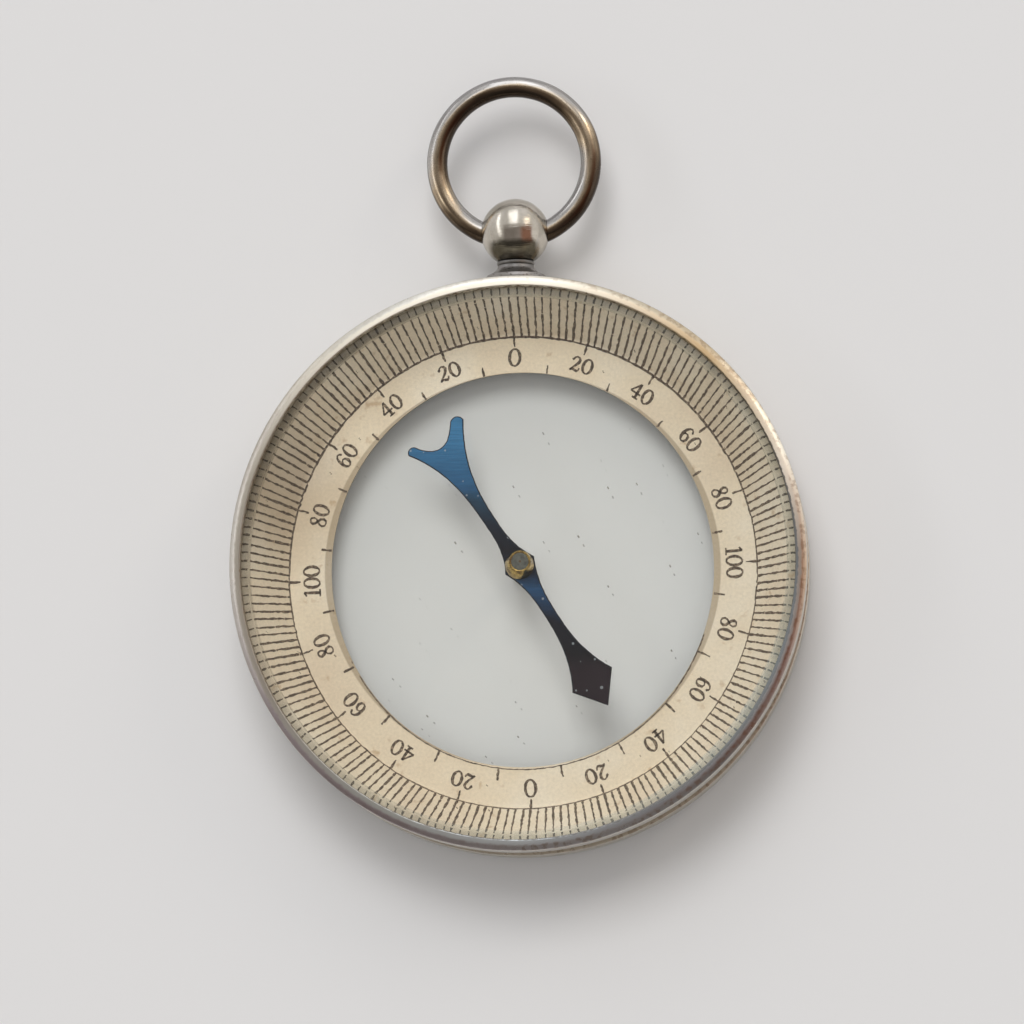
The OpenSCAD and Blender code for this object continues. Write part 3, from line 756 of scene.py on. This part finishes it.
# Half width, length, radius of the tip and sweep of the flank, for each prong
RIGHT_PRONG, LEFT_PRONG = (1.96, 9.0, 0.4, 2.45), (1.7, 8.88, 0.32, 2.9)
NOTCH_DEPTH, PRONG_FROM, PRONG_TO = 0.92, 5, 150
BLADE_LOW, BLADE_TOP = 3.45, 3.65
NEEDLE_REST, BLADE_LEAN = math.radians(32), math.radians(0.9)
ARROW_WAIST, FORK_WAIST = 3.2, 2.7
TENON_R = 0.45
EDGE, FILE_SLIP = 0.06, 0.02


def flank(waist_y, end_y, half, flare=2.55, steps=36):
    """Half widths from the boss over the waist to one end, as (half width, distance)."""
    points = []
    for k in range(steps):
        t = k / steps
        points.append((WAIST_HALF + (BOSS_HALF - WAIST_HALF) * (1 - t) ** 2.6, waist_y * t))
    for k in range(steps + 1):
        t = k / steps
        points.append((WAIST_HALF + (half - WAIST_HALF) * t**flare, waist_y + (end_y - waist_y) * t))
    return points


def blade_side(half, length, radius, flare):
    """One side of the blade, from the arrow's tip to the bottom of the notch between the prongs."""
    prong_x, prong_y = half - radius, length - radius
    arrow_side = [(x, -y) for x, y in flank(ARROW_WAIST, ARROW_LEN - ARROW_POINT, ARROW_HALF)]
    tip = [(prong_x + radius * math.cos(math.radians(a)), prong_y + radius * math.sin(math.radians(a)))
           for a in range(PRONG_FROM, PRONG_TO + 1, 12)]
    notch_half = min(1.0, prong_x - 0.35)
    notch = []
    for k in range(10, -1, -1):
        x = notch_half * k / 10
        notch.append((x, FORK_LEN - NOTCH_DEPTH + 0.6 * x**2))
    return [(0, -ARROW_LEN)] + arrow_side[::-1] + flank(FORK_WAIST, prong_y, half, flare)[1:] + tip + notch


right = blade_side(*RIGHT_PRONG)
left = [(-x, y) for x, y in blade_side(*LEFT_PRONG)]
outline = right + left[-2:0:-1]
outline = [(x + FILE_SLIP * noise.noise((5 * x, 5 * y, 0)),
            y + FILE_SLIP * noise.noise((5 * x, 5 * y, 7))) for x, y in outline]


def filed(x, y):
    """A point of the outline at rest, with the degree of lean that the filed blade has."""
    lean = BLADE_LEAN * max(-1.0, min(1.0, y / 2))
    x = x - y * math.tan(lean)
    c, s = math.cos(NEEDLE_REST), math.sin(NEEDLE_REST)
    return x * c - y * s, x * s + y * c


count = len(outline)
hole_steps = 48
levels = [(EDGE, BLADE_LOW), (0, BLADE_LOW + EDGE), (0, BLADE_TOP - EDGE), (EDGE, BLADE_TOP)]
shape = bmesh.new()
loops = []
for i, (x, y) in enumerate(outline):
    before, after = Vector(outline[i - 1]), Vector(outline[(i + 1) % count])
    side = (after - before).normalized()
    inward = Vector((-side.y, side.x))
    loops.append([])
    for inset, z in levels:
        px, py = filed(x + inward.x * inset, y + inward.y * inset)
        loops[-1].append(shape.verts.new(Vector((px, py, z)) * MM))
for i in range(count):
    j = (i + 1) % count
    for k in range(3):
        shape.faces.new((loops[i][k], loops[j][k], loops[j][k + 1], loops[i][k + 1]))
for k, z in ((0, BLADE_LOW), (3, BLADE_TOP)):
    hole = []
    for n in range(hole_steps):
        a = 2 * math.pi * n / hole_steps
        hole.append(shape.verts.new(Vector((TENON_R * math.cos(a), TENON_R * math.sin(a), z)) * MM))
    edges = [shape.edges.new((hole[n], hole[(n + 1) % hole_steps])) for n in range(hole_steps)]
    edges += [shape.edges.get((loops[i][k], loops[(i + 1) % count][k])) for i in range(count)]
    bmesh.ops.triangle_fill(shape, use_beauty=True, edges=edges)
    if k == 0:
        low_hole = hole
    else:
        for n in range(hole_steps):
            m = (n + 1) % hole_steps
            shape.faces.new((low_hole[n], low_hole[m], hole[m], hole[n]))
bmesh.ops.recalc_face_normals(shape, faces=shape.faces)
for face in shape.faces:
    face.material_index = 0 if abs(face.normal.z) > 0.99 else 1
mesh = bpy.data.meshes.new("needle_blade_steel")
shape.to_mesh(mesh)
shape.free()
mesh.shade_smooth()
mesh.set_sharp_from_angle(angle=math.radians(30))
blade = bpy.data.objects.new("needle_blade_steel", mesh)
bpy.context.scene.collection.objects.link(blade)

blued, tree, shader = new_material("spring_steel_heat_blued", {"Metallic": 0.6, "Roughness": 0.42})
# Heat-blued steel: a metal whose oxide gives the colour, satin from emery lines that run from left
# to right, drawn 0.08 mm apart so that they show, with a few pale specks of dust
space = add(tree, "TexCoord")
to_needle = add(tree, "Mapping", {"vector_type": "POINT", "Rotation": (0, 0, -NEEDLE_REST)},
                {"Vector": space.outputs["Object"]})
split = add(tree, "SeparateXYZ", None, {"Vector": to_needle})
smoky = mottling(tree, 1.2, 4.0)
drift = add(tree, "Math", {"operation": "MULTIPLY_ADD", 1: 1.6 * MM}, {0: smoky, 2: split.outputs["Y"]})
leaning = add(tree, "Math", {"operation": "MULTIPLY_ADD", 1: 0.8}, {0: split.outputs["X"], 2: drift})
share = add(tree, "MapRange", {"From Min": -ARROW_LEN * MM, "From Max": (FORK_LEN + 1) * MM},
            {"Value": leaning})
heat = add(tree, "ValToRGB", {"stops": [
    (0.0, "#291e26"), (0.16, "#251b22"), (0.215, "#070b13"), (0.33, "#0a1322"), (0.40, "#1d3f60"),
    (0.445, "#25527a"), (0.50, "#14263c"), (0.58, "#0a111c"), (0.66, "#132232"), (0.75, "#22455c"),
    (0.80, "#2b628c"), (1.0, "#4489b8")]}, {"Fac": share})
emery = mottling(tree, 0.075, 3.0, (0.05, 1, 1))
streak = add(tree, "MapRange", {"From Min": 0.3, "From Max": 0.7, "To Min": 0.82, "To Max": 1.15},
             {"Value": emery})
grained = add(tree, "Mix", {"data_type": "RGBA", "blend_type": "MULTIPLY", 0: 1.0}, {6: heat, 7: streak})
lint = specks(tree, 0.85, 0.45, 0.14, "Green", 0.6)
dusted = add(tree, "Mix", {"data_type": "RGBA", 7: "#b9c2c6"}, {0: lint, 6: grained})
grain_bump = add(tree, "Bump", {"Strength": 0.5, "Distance": 0.006 * MM}, {"Height": emery})
connect(tree, shader, {"Base Color": dusted, "Normal": grain_bump})
blade.data.materials.append(blued)
edge_steel, tree, shader = new_material("spring_steel_filed_edge", {"Metallic": 0.7, "Roughness": 0.5})
# Filed edge, near black, with file marks of 0.05 mm: partly oxide and partly painted shade of the blade's
# thin sides, which draws a dark outline
marks = mottling(tree, 0.05, 3.0)
tone = add(tree, "ValToRGB", {"stops": [(0.35, "#0f141c"), (0.65, "#27303c")]}, {"Fac": marks})
connect(tree, shader, {"Base Color": tone})
blade.data.materials.append(edge_steel)
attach(blade, "needle")
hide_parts("needle_blade")


# Needle cap: a cone of brass rod, turned and polished, riveted in the blade by a tenon that is
# burred over beneath. Its top edge is spun over the jewel.
CAP_TOP, JEWEL_LOW, JEWEL_TOP = 4.55, 4.05, 4.51
BORE_R, BURR_R, BURR_T, SETTING_R, SPUN_T = 0.3, 0.58, 0.17, 0.485, 0.03
CAP_R, CAP_EDGE, CAP_NECK, CAP_TOP_R = 0.8, 0.16, (0.66, 4.3), 0.59
LEAN = (0.085, 0.12)


def leant(piece):
    """Pushes a piece's top a little aside, as the riveted cap and its jewel stand."""
    for vertex in piece.data.vertices:
        share = max(0.0, (vertex.co.z / MM - JEWEL_LOW) / (CAP_TOP - JEWEL_LOW))
        vertex.co.x += LEAN[0] * share * MM
        vertex.co.y += LEAN[1] * share * MM


cap = turned("needle_cap_cone", eased([
    (BORE_R, BLADE_LOW - BURR_T), (BURR_R, BLADE_LOW - BURR_T, 0.05), (BURR_R, BLADE_LOW),
    (TENON_R, BLADE_LOW), (TENON_R, BLADE_TOP), (CAP_R, BLADE_TOP), (CAP_R, BLADE_TOP + CAP_EDGE, 0.05),
    CAP_NECK + (0.1,), (CAP_TOP_R, CAP_TOP, 0.04), (SETTING_R, CAP_TOP - SPUN_T, 0.01),
    (SETTING_R, JEWEL_LOW), (BORE_R, JEWEL_LOW)]), turns=96)
leant(cap)
cap.data.materials.append(turned_brass("brass_turned_polished", "#ccb068", "#574020", 0.24))
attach(cap, "needle")
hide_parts("needle_cap")


# Jewel: a grey agate disc, ground and polished, with a cupped underside that rides on the point
# and a low dome on top. It is dropped in the cap, whose edge is then spun over it.
JEWEL_R, CUP_R, CUP_DEPTH = 0.484, 0.25, 0.2
jewel = turned("cap_jewel_disc", eased([
    (0, JEWEL_LOW + CUP_DEPTH), (CUP_R, JEWEL_LOW), (JEWEL_R, JEWEL_LOW),
    (JEWEL_R, JEWEL_TOP - 0.01, 0.02), (0.3, JEWEL_TOP - 0.003), (0.15, JEWEL_TOP - 0.001),
    (0, JEWEL_TOP)]), turns=96)
leant(jewel)
agate, tree, shader = new_material("agate_polished_grey", {
    "Roughness": 0.14, "IOR": 1.54, "Transmission Weight": 0.15})
# Polished agate: waxy grey, a little light goes in, with clouds of 0.2 mm and a brown dot where
# the bottom of the cup shows through
cloud = mottling(tree, 0.22, 4.0)
tone = add(tree, "ValToRGB", {"stops": [(0.3, "#4f504a"), (0.7, "#6d6e66")]}, {"Fac": cloud})
space = add(tree, "TexCoord")
dome_top = [c * MM for c in (*LEAN, JEWEL_TOP)]
to_dot = add(tree, "VectorMath", {"operation": "DISTANCE", 1: dome_top}, {0: space.outputs["Object"]})
dot = add(tree, "MapRange", {"From Min": 0.09 * MM, "From Max": 0.05 * MM, "To Max": 0.8},
          {"Value": to_dot})
dotted = add(tree, "Mix", {"data_type": "RGBA", 7: "#5d4328"}, {0: dot, 6: tone})
connect(tree, shader, {"Base Color": dotted})
jewel.data.materials.append(agate)
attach(jewel, "needle")
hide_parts("cap_jewel")


# Pendant foot: a trumpet-shaped foot of plated brass with a bead under the ball, turned in one
# piece and soldered to the band between the two bezels. The stem goes through it.
BALL_R, BALL_Y, NECK_R = 1.915, 18.86, 1.05
SEAT_Y = BALL_Y - math.sqrt(BALL_R**2 - NECK_R**2)
BEAD_R, SPIGOT_R, SPIGOT_Y = 0.14, 1.0, 15.72
FOOT_R, FOOT_Y, FOOT_EDGE, FLARE_Y = 1.75, 16.05, 0.28, 16.35
MID_Z = CASE_T / 2
spigot = [(STEM_HOLE_R, SPIGOT_Y), (SPIGOT_R, SPIGOT_Y), (SPIGOT_R, FOOT_Y)]
edge = eased([(SPIGOT_R, FOOT_Y), (FOOT_R, FOOT_Y, 0.06), (FOOT_R, FOOT_Y + FOOT_EDGE, 0.1)])
flare = []
for k in range(1, 13):
    t = k / 12
    flare.append((SPIGOT_R + (FOOT_R - SPIGOT_R) * (1 - t) ** 2.2,
                  FLARE_Y + (SEAT_Y - 2 * BEAD_R - FLARE_Y) * t))
bead = [(NECK_R - BEAD_R + BEAD_R * math.cos(math.radians(a)),
         SEAT_Y - BEAD_R + BEAD_R * math.sin(math.radians(a)))
        for a in range(-70, 71, 14)]
foot = turned("pendant_foot_trumpet", spigot + edge[1:] + flare + bead + [(STEM_HOLE_R, SEAT_Y)],
              along("Y", z=MID_Z), turns=128)


def tarnished(tree, shader, coat, clean_y, dark_y, band_colour, sides_x):
    """A darker band that deepens from one height of the pendant to another, with a ragged edge: painted
    shade, and on the ball partly tarnish. It fades out to the sides, from one distance off the middle
    to another."""
    space = add(tree, "TexCoord")
    split = add(tree, "SeparateXYZ", None, {"Vector": space.outputs["Object"]})
    ragged = mottling(tree, 0.5, 4.0)
    height = add(tree, "Math", {"operation": "MULTIPLY_ADD", 1: 0.3 * MM},
                 {0: ragged, 2: split.outputs["Y"]})
    deep = add(tree, "MapRange", {"From Min": clean_y * MM, "From Max": dark_y * MM, "To Max": 0.85},
               {"Value": height})
    aside = add(tree, "Math", {"operation": "ABSOLUTE"}, {0: split.outputs["X"]})
    kept = add(tree, "MapRange", {"From Min": sides_x[0] * MM, "From Max": sides_x[1] * MM},
               {"Value": aside})
    amount = add(tree, "Math", {"operation": "MULTIPLY"}, {0: deep, 1: kept})
    dark = add(tree, "Mix", {"data_type": "RGBA", 7: band_colour}, {0: amount, 6: coat})
    connect(tree, shader, {"Base Color": dark})


foot_metal, tree, shader, coat = plated_nickel(
    "nickel_plate_turned_foot", "#aaa6a4", "#88847f", "#43382f", 0.34, 0.42,
    ("Y", (0, 0, MID_Z), 0.1), 0.006)
# The foot's band fades nowhere to the sides: these limits lie beyond them
CLEAN_Y, DARK_Y, BAND_PAST_SIDES = 16.9, 17.1, (9.0, 8.0)
# Painted shade: the foot's bead and neck darken towards the ball, under which they lie in shade
tarnished(tree, shader, coat, CLEAN_Y, DARK_Y, "#7b7976", BAND_PAST_SIDES)
foot.data.materials.append(foot_metal)
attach(foot, "case")
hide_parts("pendant_foot")


# Pendant stem: a brass pin, turned with a head. It goes through the band and the foot from the
# inside and is fixed in the ball, so that it holds the whole pendant.
HEAD_R, HEAD_IN, HEAD_OUT = 0.75, 14.92, 15.27
STEM_R, STEM_END = 0.45, SEAT_Y + 0.9
stem = turned("pendant_stem_rivet", eased([
    (0, HEAD_IN), (HEAD_R - 0.07, HEAD_IN, 0.1), (HEAD_R, HEAD_IN + 0.1, 0.04), (HEAD_R, HEAD_OUT),
    (STEM_R, HEAD_OUT), (STEM_R, STEM_END, 0.05), (0, STEM_END)]), along("Y", z=MID_Z), turns=64)
stem.data.materials.append(stud_brass)
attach(stem, "case")
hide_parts("pendant_stem")


# Pendant ball: a solid ball of nickel-plated brass, turned and polished to a mirror, seated on
# the foot. A cross hole right through it holds the two ends of the bail.
STEM_HOLE_END, CROSS_HOLE_R, CROSS_REACH = STEM_END + 0.01, 0.375, 3
seat_turn = math.asin(NECK_R / BALL_R)
arc = [(BALL_R * math.sin(a), BALL_Y - BALL_R * math.cos(a))
       for a in [seat_turn + (math.pi - seat_turn) * k / 72 for k in range(73)]]
stem_hole = [(0, STEM_HOLE_END), (STEM_HOLE_R, STEM_HOLE_END), (STEM_HOLE_R, SEAT_Y)]
ball = turned("pendant_ball_drilled", stem_hole + arc[:-1] + [(0, BALL_Y + BALL_R)],
              along("Y", z=MID_Z), turns=144)
drill = rod(CROSS_HOLE_R, -CROSS_REACH, CROSS_REACH, along("X", y=BALL_Y, z=MID_Z), 48)
combined(ball, drill, "DIFFERENCE")
# A darker band low on the ball near the foot, kept to the middle: partly tarnish, partly painted
# reflection of the foot and painted shade
DARK_BAND_TOP, DARK_BAND_DEEP, BAND_SIDES_X = BALL_Y - 0.4, BALL_Y - 0.65, (1.5, 1.15)
ball_metal, tree, shader, coat = plated_nickel(
    "nickel_plate_ball_polished", "#d2cbc0", "#b6afa2", "#6a5a45", 0.065, 0.31,
    ("Y", (0, BALL_Y, MID_Z), 0.08), 0.009)
tarnished(tree, shader, coat, DARK_BAND_TOP, DARK_BAND_DEEP, "#4b4639", BAND_SIDES_X)
ball.data.materials.append(ball_metal)
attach(ball, "case")
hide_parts("pendant_ball")


# Bail: round brass wire, bent to a ring round a mandrel and plated. Its shoulders are cut hollow
# to hug the ball and its two ends are turned down to swing in the cross hole. It is the most
# handled piece: its outside is rubbed silvery, and the rest has tarnished brown. These colours are
# set by which way the surface faces, so they are also painted reflection and painted shade.
BAIL_R, WIRE_R, BAIL_OFFSET = 4.33, 0.58, 3.98
TRUNNION_R, TRUNNION_L, SHOULDER_R = 0.36, 1.0, 1.93
RING_Y = BALL_Y + BAIL_OFFSET
OPEN, BENDS, ROUND = math.radians(14), 200, 40
DENT, END_OVERLAP = 0.012, 0.18
verts, faces = [], []
for i in range(BENDS + 1):
    a = -math.pi / 2 + OPEN + (2 * math.pi - 2 * OPEN) * i / BENDS
    out = Vector((math.cos(a), math.sin(a), 0))
    middle = Vector((0, RING_Y, MID_Z)) + out * (BAIL_R - DENT / 2)
    for k in range(ROUND):
        b = 2 * math.pi * k / ROUND
        dent = DENT * (0.5 + 0.5 * noise.noise((5 * math.cos(a), 5 * math.sin(a), 1.3 * math.cos(b))))
        r = WIRE_R - dent
        verts.append(middle + out * r * math.cos(b) + Vector((0, 0, r * math.sin(b))))
for i in range(BENDS):
    for k in range(ROUND):
        j = (k + 1) % ROUND
        faces.append((i * ROUND + k, i * ROUND + j, (i + 1) * ROUND + j, (i + 1) * ROUND + k))
faces.append(tuple(range(ROUND)))
faces.append(tuple(BENDS * ROUND + k for k in range(ROUND)))
bail = new_piece("bail_ring", verts, faces, 40)
hollow = [(SHOULDER_R * math.sin(math.pi * k / 48), -SHOULDER_R * math.cos(math.pi * k / 48))
          for k in range(49)]
hollow[0], hollow[-1] = (0, -SHOULDER_R), (0, SHOULDER_R)
combined(bail, turned("cutter", hollow, along("Y", y=BALL_Y, z=MID_Z), turns=96), "DIFFERENCE", 40)
for side in (-1, 1):
    ends = sorted((side * (BALL_R - TRUNNION_L), side * (SHOULDER_R + END_OVERLAP)))
    combined(bail, rod(TRUNNION_R, *ends, along("X", y=BALL_Y, z=MID_Z), 40), "UNION", 40)
bail_metal, tree, shader = new_material("nickel_plate_wire_tarnished", {"Metallic": 1.0})
# Drawn wire, plated and tarnished: the eye gets a silvery outside, a golden line between, and dark
# brown towards the case and on the flanks, with streaks that run along the wire, 0.1 mm broad and
# some millimetres long, and small dark pits. The colours follow which way the surface faces: the
# silvery outside is partly wear and partly painted reflection, the golden line is partly thinned
# plating and partly painted highlight, and the dark brown is partly tarnish and partly painted shade.
rolled, *_ = unrolled(tree, "Z", (0, RING_Y, MID_Z), 0.25)
streaks = add(tree, "TexNoise", {"Scale": 1 / (0.16 * MM), "Detail": 4.0}, {"Vector": rolled})
cloud = mottling(tree, 1.4, 4.0)
pits = mottling(tree, 0.09, 4.0)
lay = add(tree, "TexCoord")
# Colour by facing: painted reflection and highlight on the side away from the case, painted shade with
# tarnish on the side towards it
to_case = add(tree, "VectorMath", {"operation": "DOT_PRODUCT", 1: (0.18, -0.465, 0)},
              {0: lay.outputs["Normal"]})
ragged = add(tree, "Math", {"operation": "MULTIPLY_ADD", 1: 0.16, 2: 0.42}, {0: cloud})
turned_to = add(tree, "Math", {"operation": "ADD"}, {0: to_case, 1: ragged})
tone = add(tree, "ValToRGB", {"stops": [
    (0.0, "#a5a3a4"), (0.38, "#c3bfba"), (0.49, "#cab69a"), (0.57, "#86735d"), (0.68, "#564a3f"),
    (1.0, "#40372f")]}, {"Fac": turned_to})
thin = add(tree, "MapRange", {"From Min": 0.34, "From Max": 0.70, "To Min": 1.06, "To Max": 0.6},
           {"Value": streaks})
streaked = add(tree, "Mix", {"data_type": "RGBA", "blend_type": "MULTIPLY", 0: 1.0}, {6: tone, 7: thin})
# Painted shade, partly dirt: the wire darkens where its surface stands upright, on its flanks
upright = add(tree, "SeparateXYZ", None, {"Vector": lay.outputs["Normal"]})
level = add(tree, "Math", {"operation": "ABSOLUTE"}, {0: upright.outputs["Z"]})
flank_dirt_and_shade = add(tree, "MapRange", {"From Min": 0.58, "From Max": 0.25, "To Max": 0.8}, {"Value": level})
darkened_flanks = add(tree, "Mix", {"data_type": "RGBA", 7: "#453c34"}, {0: flank_dirt_and_shade, 6: streaked})
pit = add(tree, "MapRange", {"From Min": 0.36, "From Max": 0.28, "To Max": 0.7}, {"Value": pits})
pitted = add(tree, "Mix", {"data_type": "RGBA", 7: "#2c2219"}, {0: pit, 6: darkened_flanks})
gloss = add(tree, "MapRange", {"From Min": 0.35, "From Max": 0.65, "To Min": 0.17, "To Max": 0.32},
            {"Value": cloud})
drawn = add(tree, "Bump", {"Strength": 0.25, "Distance": 0.008 * MM}, {"Height": streaks})
connect(tree, shader, {"Base Color": pitted, "Roughness": gloss, "Normal": drawn})
bail.data.materials.append(bail_metal)
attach(bail, "bail")
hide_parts("bail")


# Floor: a plain pale sheet, painted matt, which the rear bezel rests on. It is clear from beneath,
# so that the back of the compass can be looked at.
FLOOR_HALF = 4000
corners = [(x * FLOOR_HALF, y * FLOOR_HALF, 0) for x, y in ((-1, -1), (1, -1), (1, 1), (-1, 1))]
floor = new_piece("floor", corners, [(0, 1, 2, 3)])
floor_paint, tree, shader = new_material("floor_paint_pale_matt", {
    "Base Color": "#e5e4e4", "Roughness": 0.9, "Specular IOR Level": 0.1})
under = add(tree, "NewGeometry")
glassy = add(tree, "BsdfTransparent")
one_way = add(tree, "MixShader", None, {0: under.outputs["Backfacing"], 1: shader, 2: glassy})
connect(tree, tree.nodes["Material Output"], {"Surface": one_way})
floor.data.materials.append(floor_paint)


# Light: three soft windows beyond the pendant and two soft lamps that polished metal doesn't show.
# Each is a name, its bearing from +Y clockwise, elevation, tilt, width, height, power and colour.
LAMPS = [
    ("window_middle", -3, 43, 0, 1.2, 2.3, 12.6, "#f8faff"),
    ("window_left", -67, 31, 29, 3.2, 0.4, 6.5, "#f8faff"),
    ("window_right", 48, 31, 0, 0.4, 1.0, 4, "#fff0dc"),
    ("lamp_high", -11, 60, 0, 1.2, 1.2, 22, "#fffefc"),
    ("lamp_overhead", 100, 84, 0, 2.2, 2.2, 6, "#fffefc"),
]
LAMP_DISTANCE = 2.6
for name, bearing, rise, tilt, wide, tall, power, colour in LAMPS:
    lamp = bpy.data.lights.new(name, "AREA")
    lamp.shape, lamp.size, lamp.size_y, lamp.energy = "RECTANGLE", wide, tall, power
    lamp.color = to_linear(colour)[:3]
    light = bpy.data.objects.new(name, lamp)
    b, e = math.radians(bearing), math.radians(rise)
    place = Vector((math.sin(b) * math.cos(e), math.cos(b) * math.cos(e), math.sin(e)))
    light.location = place * LAMP_DISTANCE
    turn = place.to_track_quat("Z", "Y").to_matrix() @ Matrix.Rotation(math.radians(tilt), 3, "Z")
    light.rotation_euler = turn.to_euler()
    light.visible_glossy = light.visible_transmission = not name.startswith("lamp")
    bpy.context.scene.collection.objects.link(light)


# Room: metal and glass see pale walls, dark on the near side, and a brown-ended board overhead.
# All else is lit by an even grey, and the camera sees a pale one.
# The board spans these middles, half widths and soft edges of the direction's X and Y.
BOARD = (("X", 0.14, 0.73, 0.03), ("Y", -0.15, 0.425, 0.025))
world = bpy.data.worlds.new("room")
bpy.context.scene.world = world
world.use_nodes = True
tree = world.node_tree
tree.nodes.clear()
space = add(tree, "TexCoord")
split = add(tree, "SeparateXYZ", None, {"Vector": space.outputs["Generated"]})
ahead = add(tree, "MapRange", {"From Min": -1.0, "From Max": 1.0}, {"Value": split.outputs["Y"]})
walls = add(tree, "ValToRGB", {"stops": [
    (0.0, "#706c69"), (0.20, "#78746f"), (0.27, "#bab7b3"), (0.42, "#d9d7d5"),
    (1.0, "#e2e2e3")]}, {"Fac": ahead})
spans = []
for axis, middle, half, soft in BOARD:
    shifted = add(tree, "Math", {"operation": "SUBTRACT", 1: middle}, {0: split.outputs[axis]})
    aside = add(tree, "Math", {"operation": "ABSOLUTE"}, {0: shifted})
    spans.append(add(tree, "MapRange", {"From Min": half + soft, "From Max": half - soft},
                     {"Value": aside}))
board = add(tree, "Math", {"operation": "MULTIPLY"}, {0: spans[0], 1: spans[1]})
end_of_board = add(tree, "MapRange", {"From Min": 0.30, "From Max": 0.50}, {"Value": split.outputs["X"]})
stained = add(tree, "Mix", {"data_type": "RGBA", 6: "#8d8784", 7: "#866455"}, {0: end_of_board})
hung = add(tree, "Mix", {"data_type": "RGBA"}, {0: board, 6: walls, 7: stained})
sunny = add(tree, "MapRange", {"From Min": -0.2, "From Max": 0.9, "To Min": 1.0, "To Max": 1.3},
            {"Value": split.outputs["X"]})
warmed = add(tree, "Mix", {"data_type": "RGBA", "blend_type": "MULTIPLY", 0: 1.0}, {6: hung, 7: sunny})
path = add(tree, "LightPath")
mirrored = add(tree, "Math", {"operation": "MAXIMUM"},
               {0: path.outputs["Is Glossy Ray"], 1: path.outputs["Is Transmission Ray"]})
shown = add(tree, "Mix", {"data_type": "RGBA", 6: "#a9a8a7"}, {0: mirrored, 7: warmed})
seen = add(tree, "Mix", {"data_type": "RGBA", 7: "#e2e1e0"}, {0: path.outputs["Is Camera Ray"], 6: shown})
room = add(tree, "Background", {"Strength": 1.0}, {"Color": seen})
add(tree, "OutputWorld", None, {"Surface": room})
bpy.context.scene.view_settings.view_transform = "Standard"


# Camera: a long lens, a third of a metre over the dial and a little to the lower right, turned by
# one degree. It sees the whole compass.
eye, target = Vector((25.69, -39.17, 335.8)) * MM, Vector((-0.449, 3.106, 3.0)) * MM
camera = bpy.data.objects.new("camera", bpy.data.cameras.new("camera"))
camera.data.lens, camera.data.sensor_width = 212.3, 36.0
camera.data.clip_start, camera.data.clip_end = 0.01, 20
look = (target - eye).normalized()
roll = 0.017
up = Vector((math.sin(roll), math.cos(roll), 0))
side = look.cross(up).normalized()
rotation = Matrix((side, side.cross(look), -look)).transposed()
camera.matrix_world = Matrix.Translation(eye) @ rotation.to_4x4()
bpy.context.scene.collection.objects.link(camera)
bpy.context.scene.camera = camera
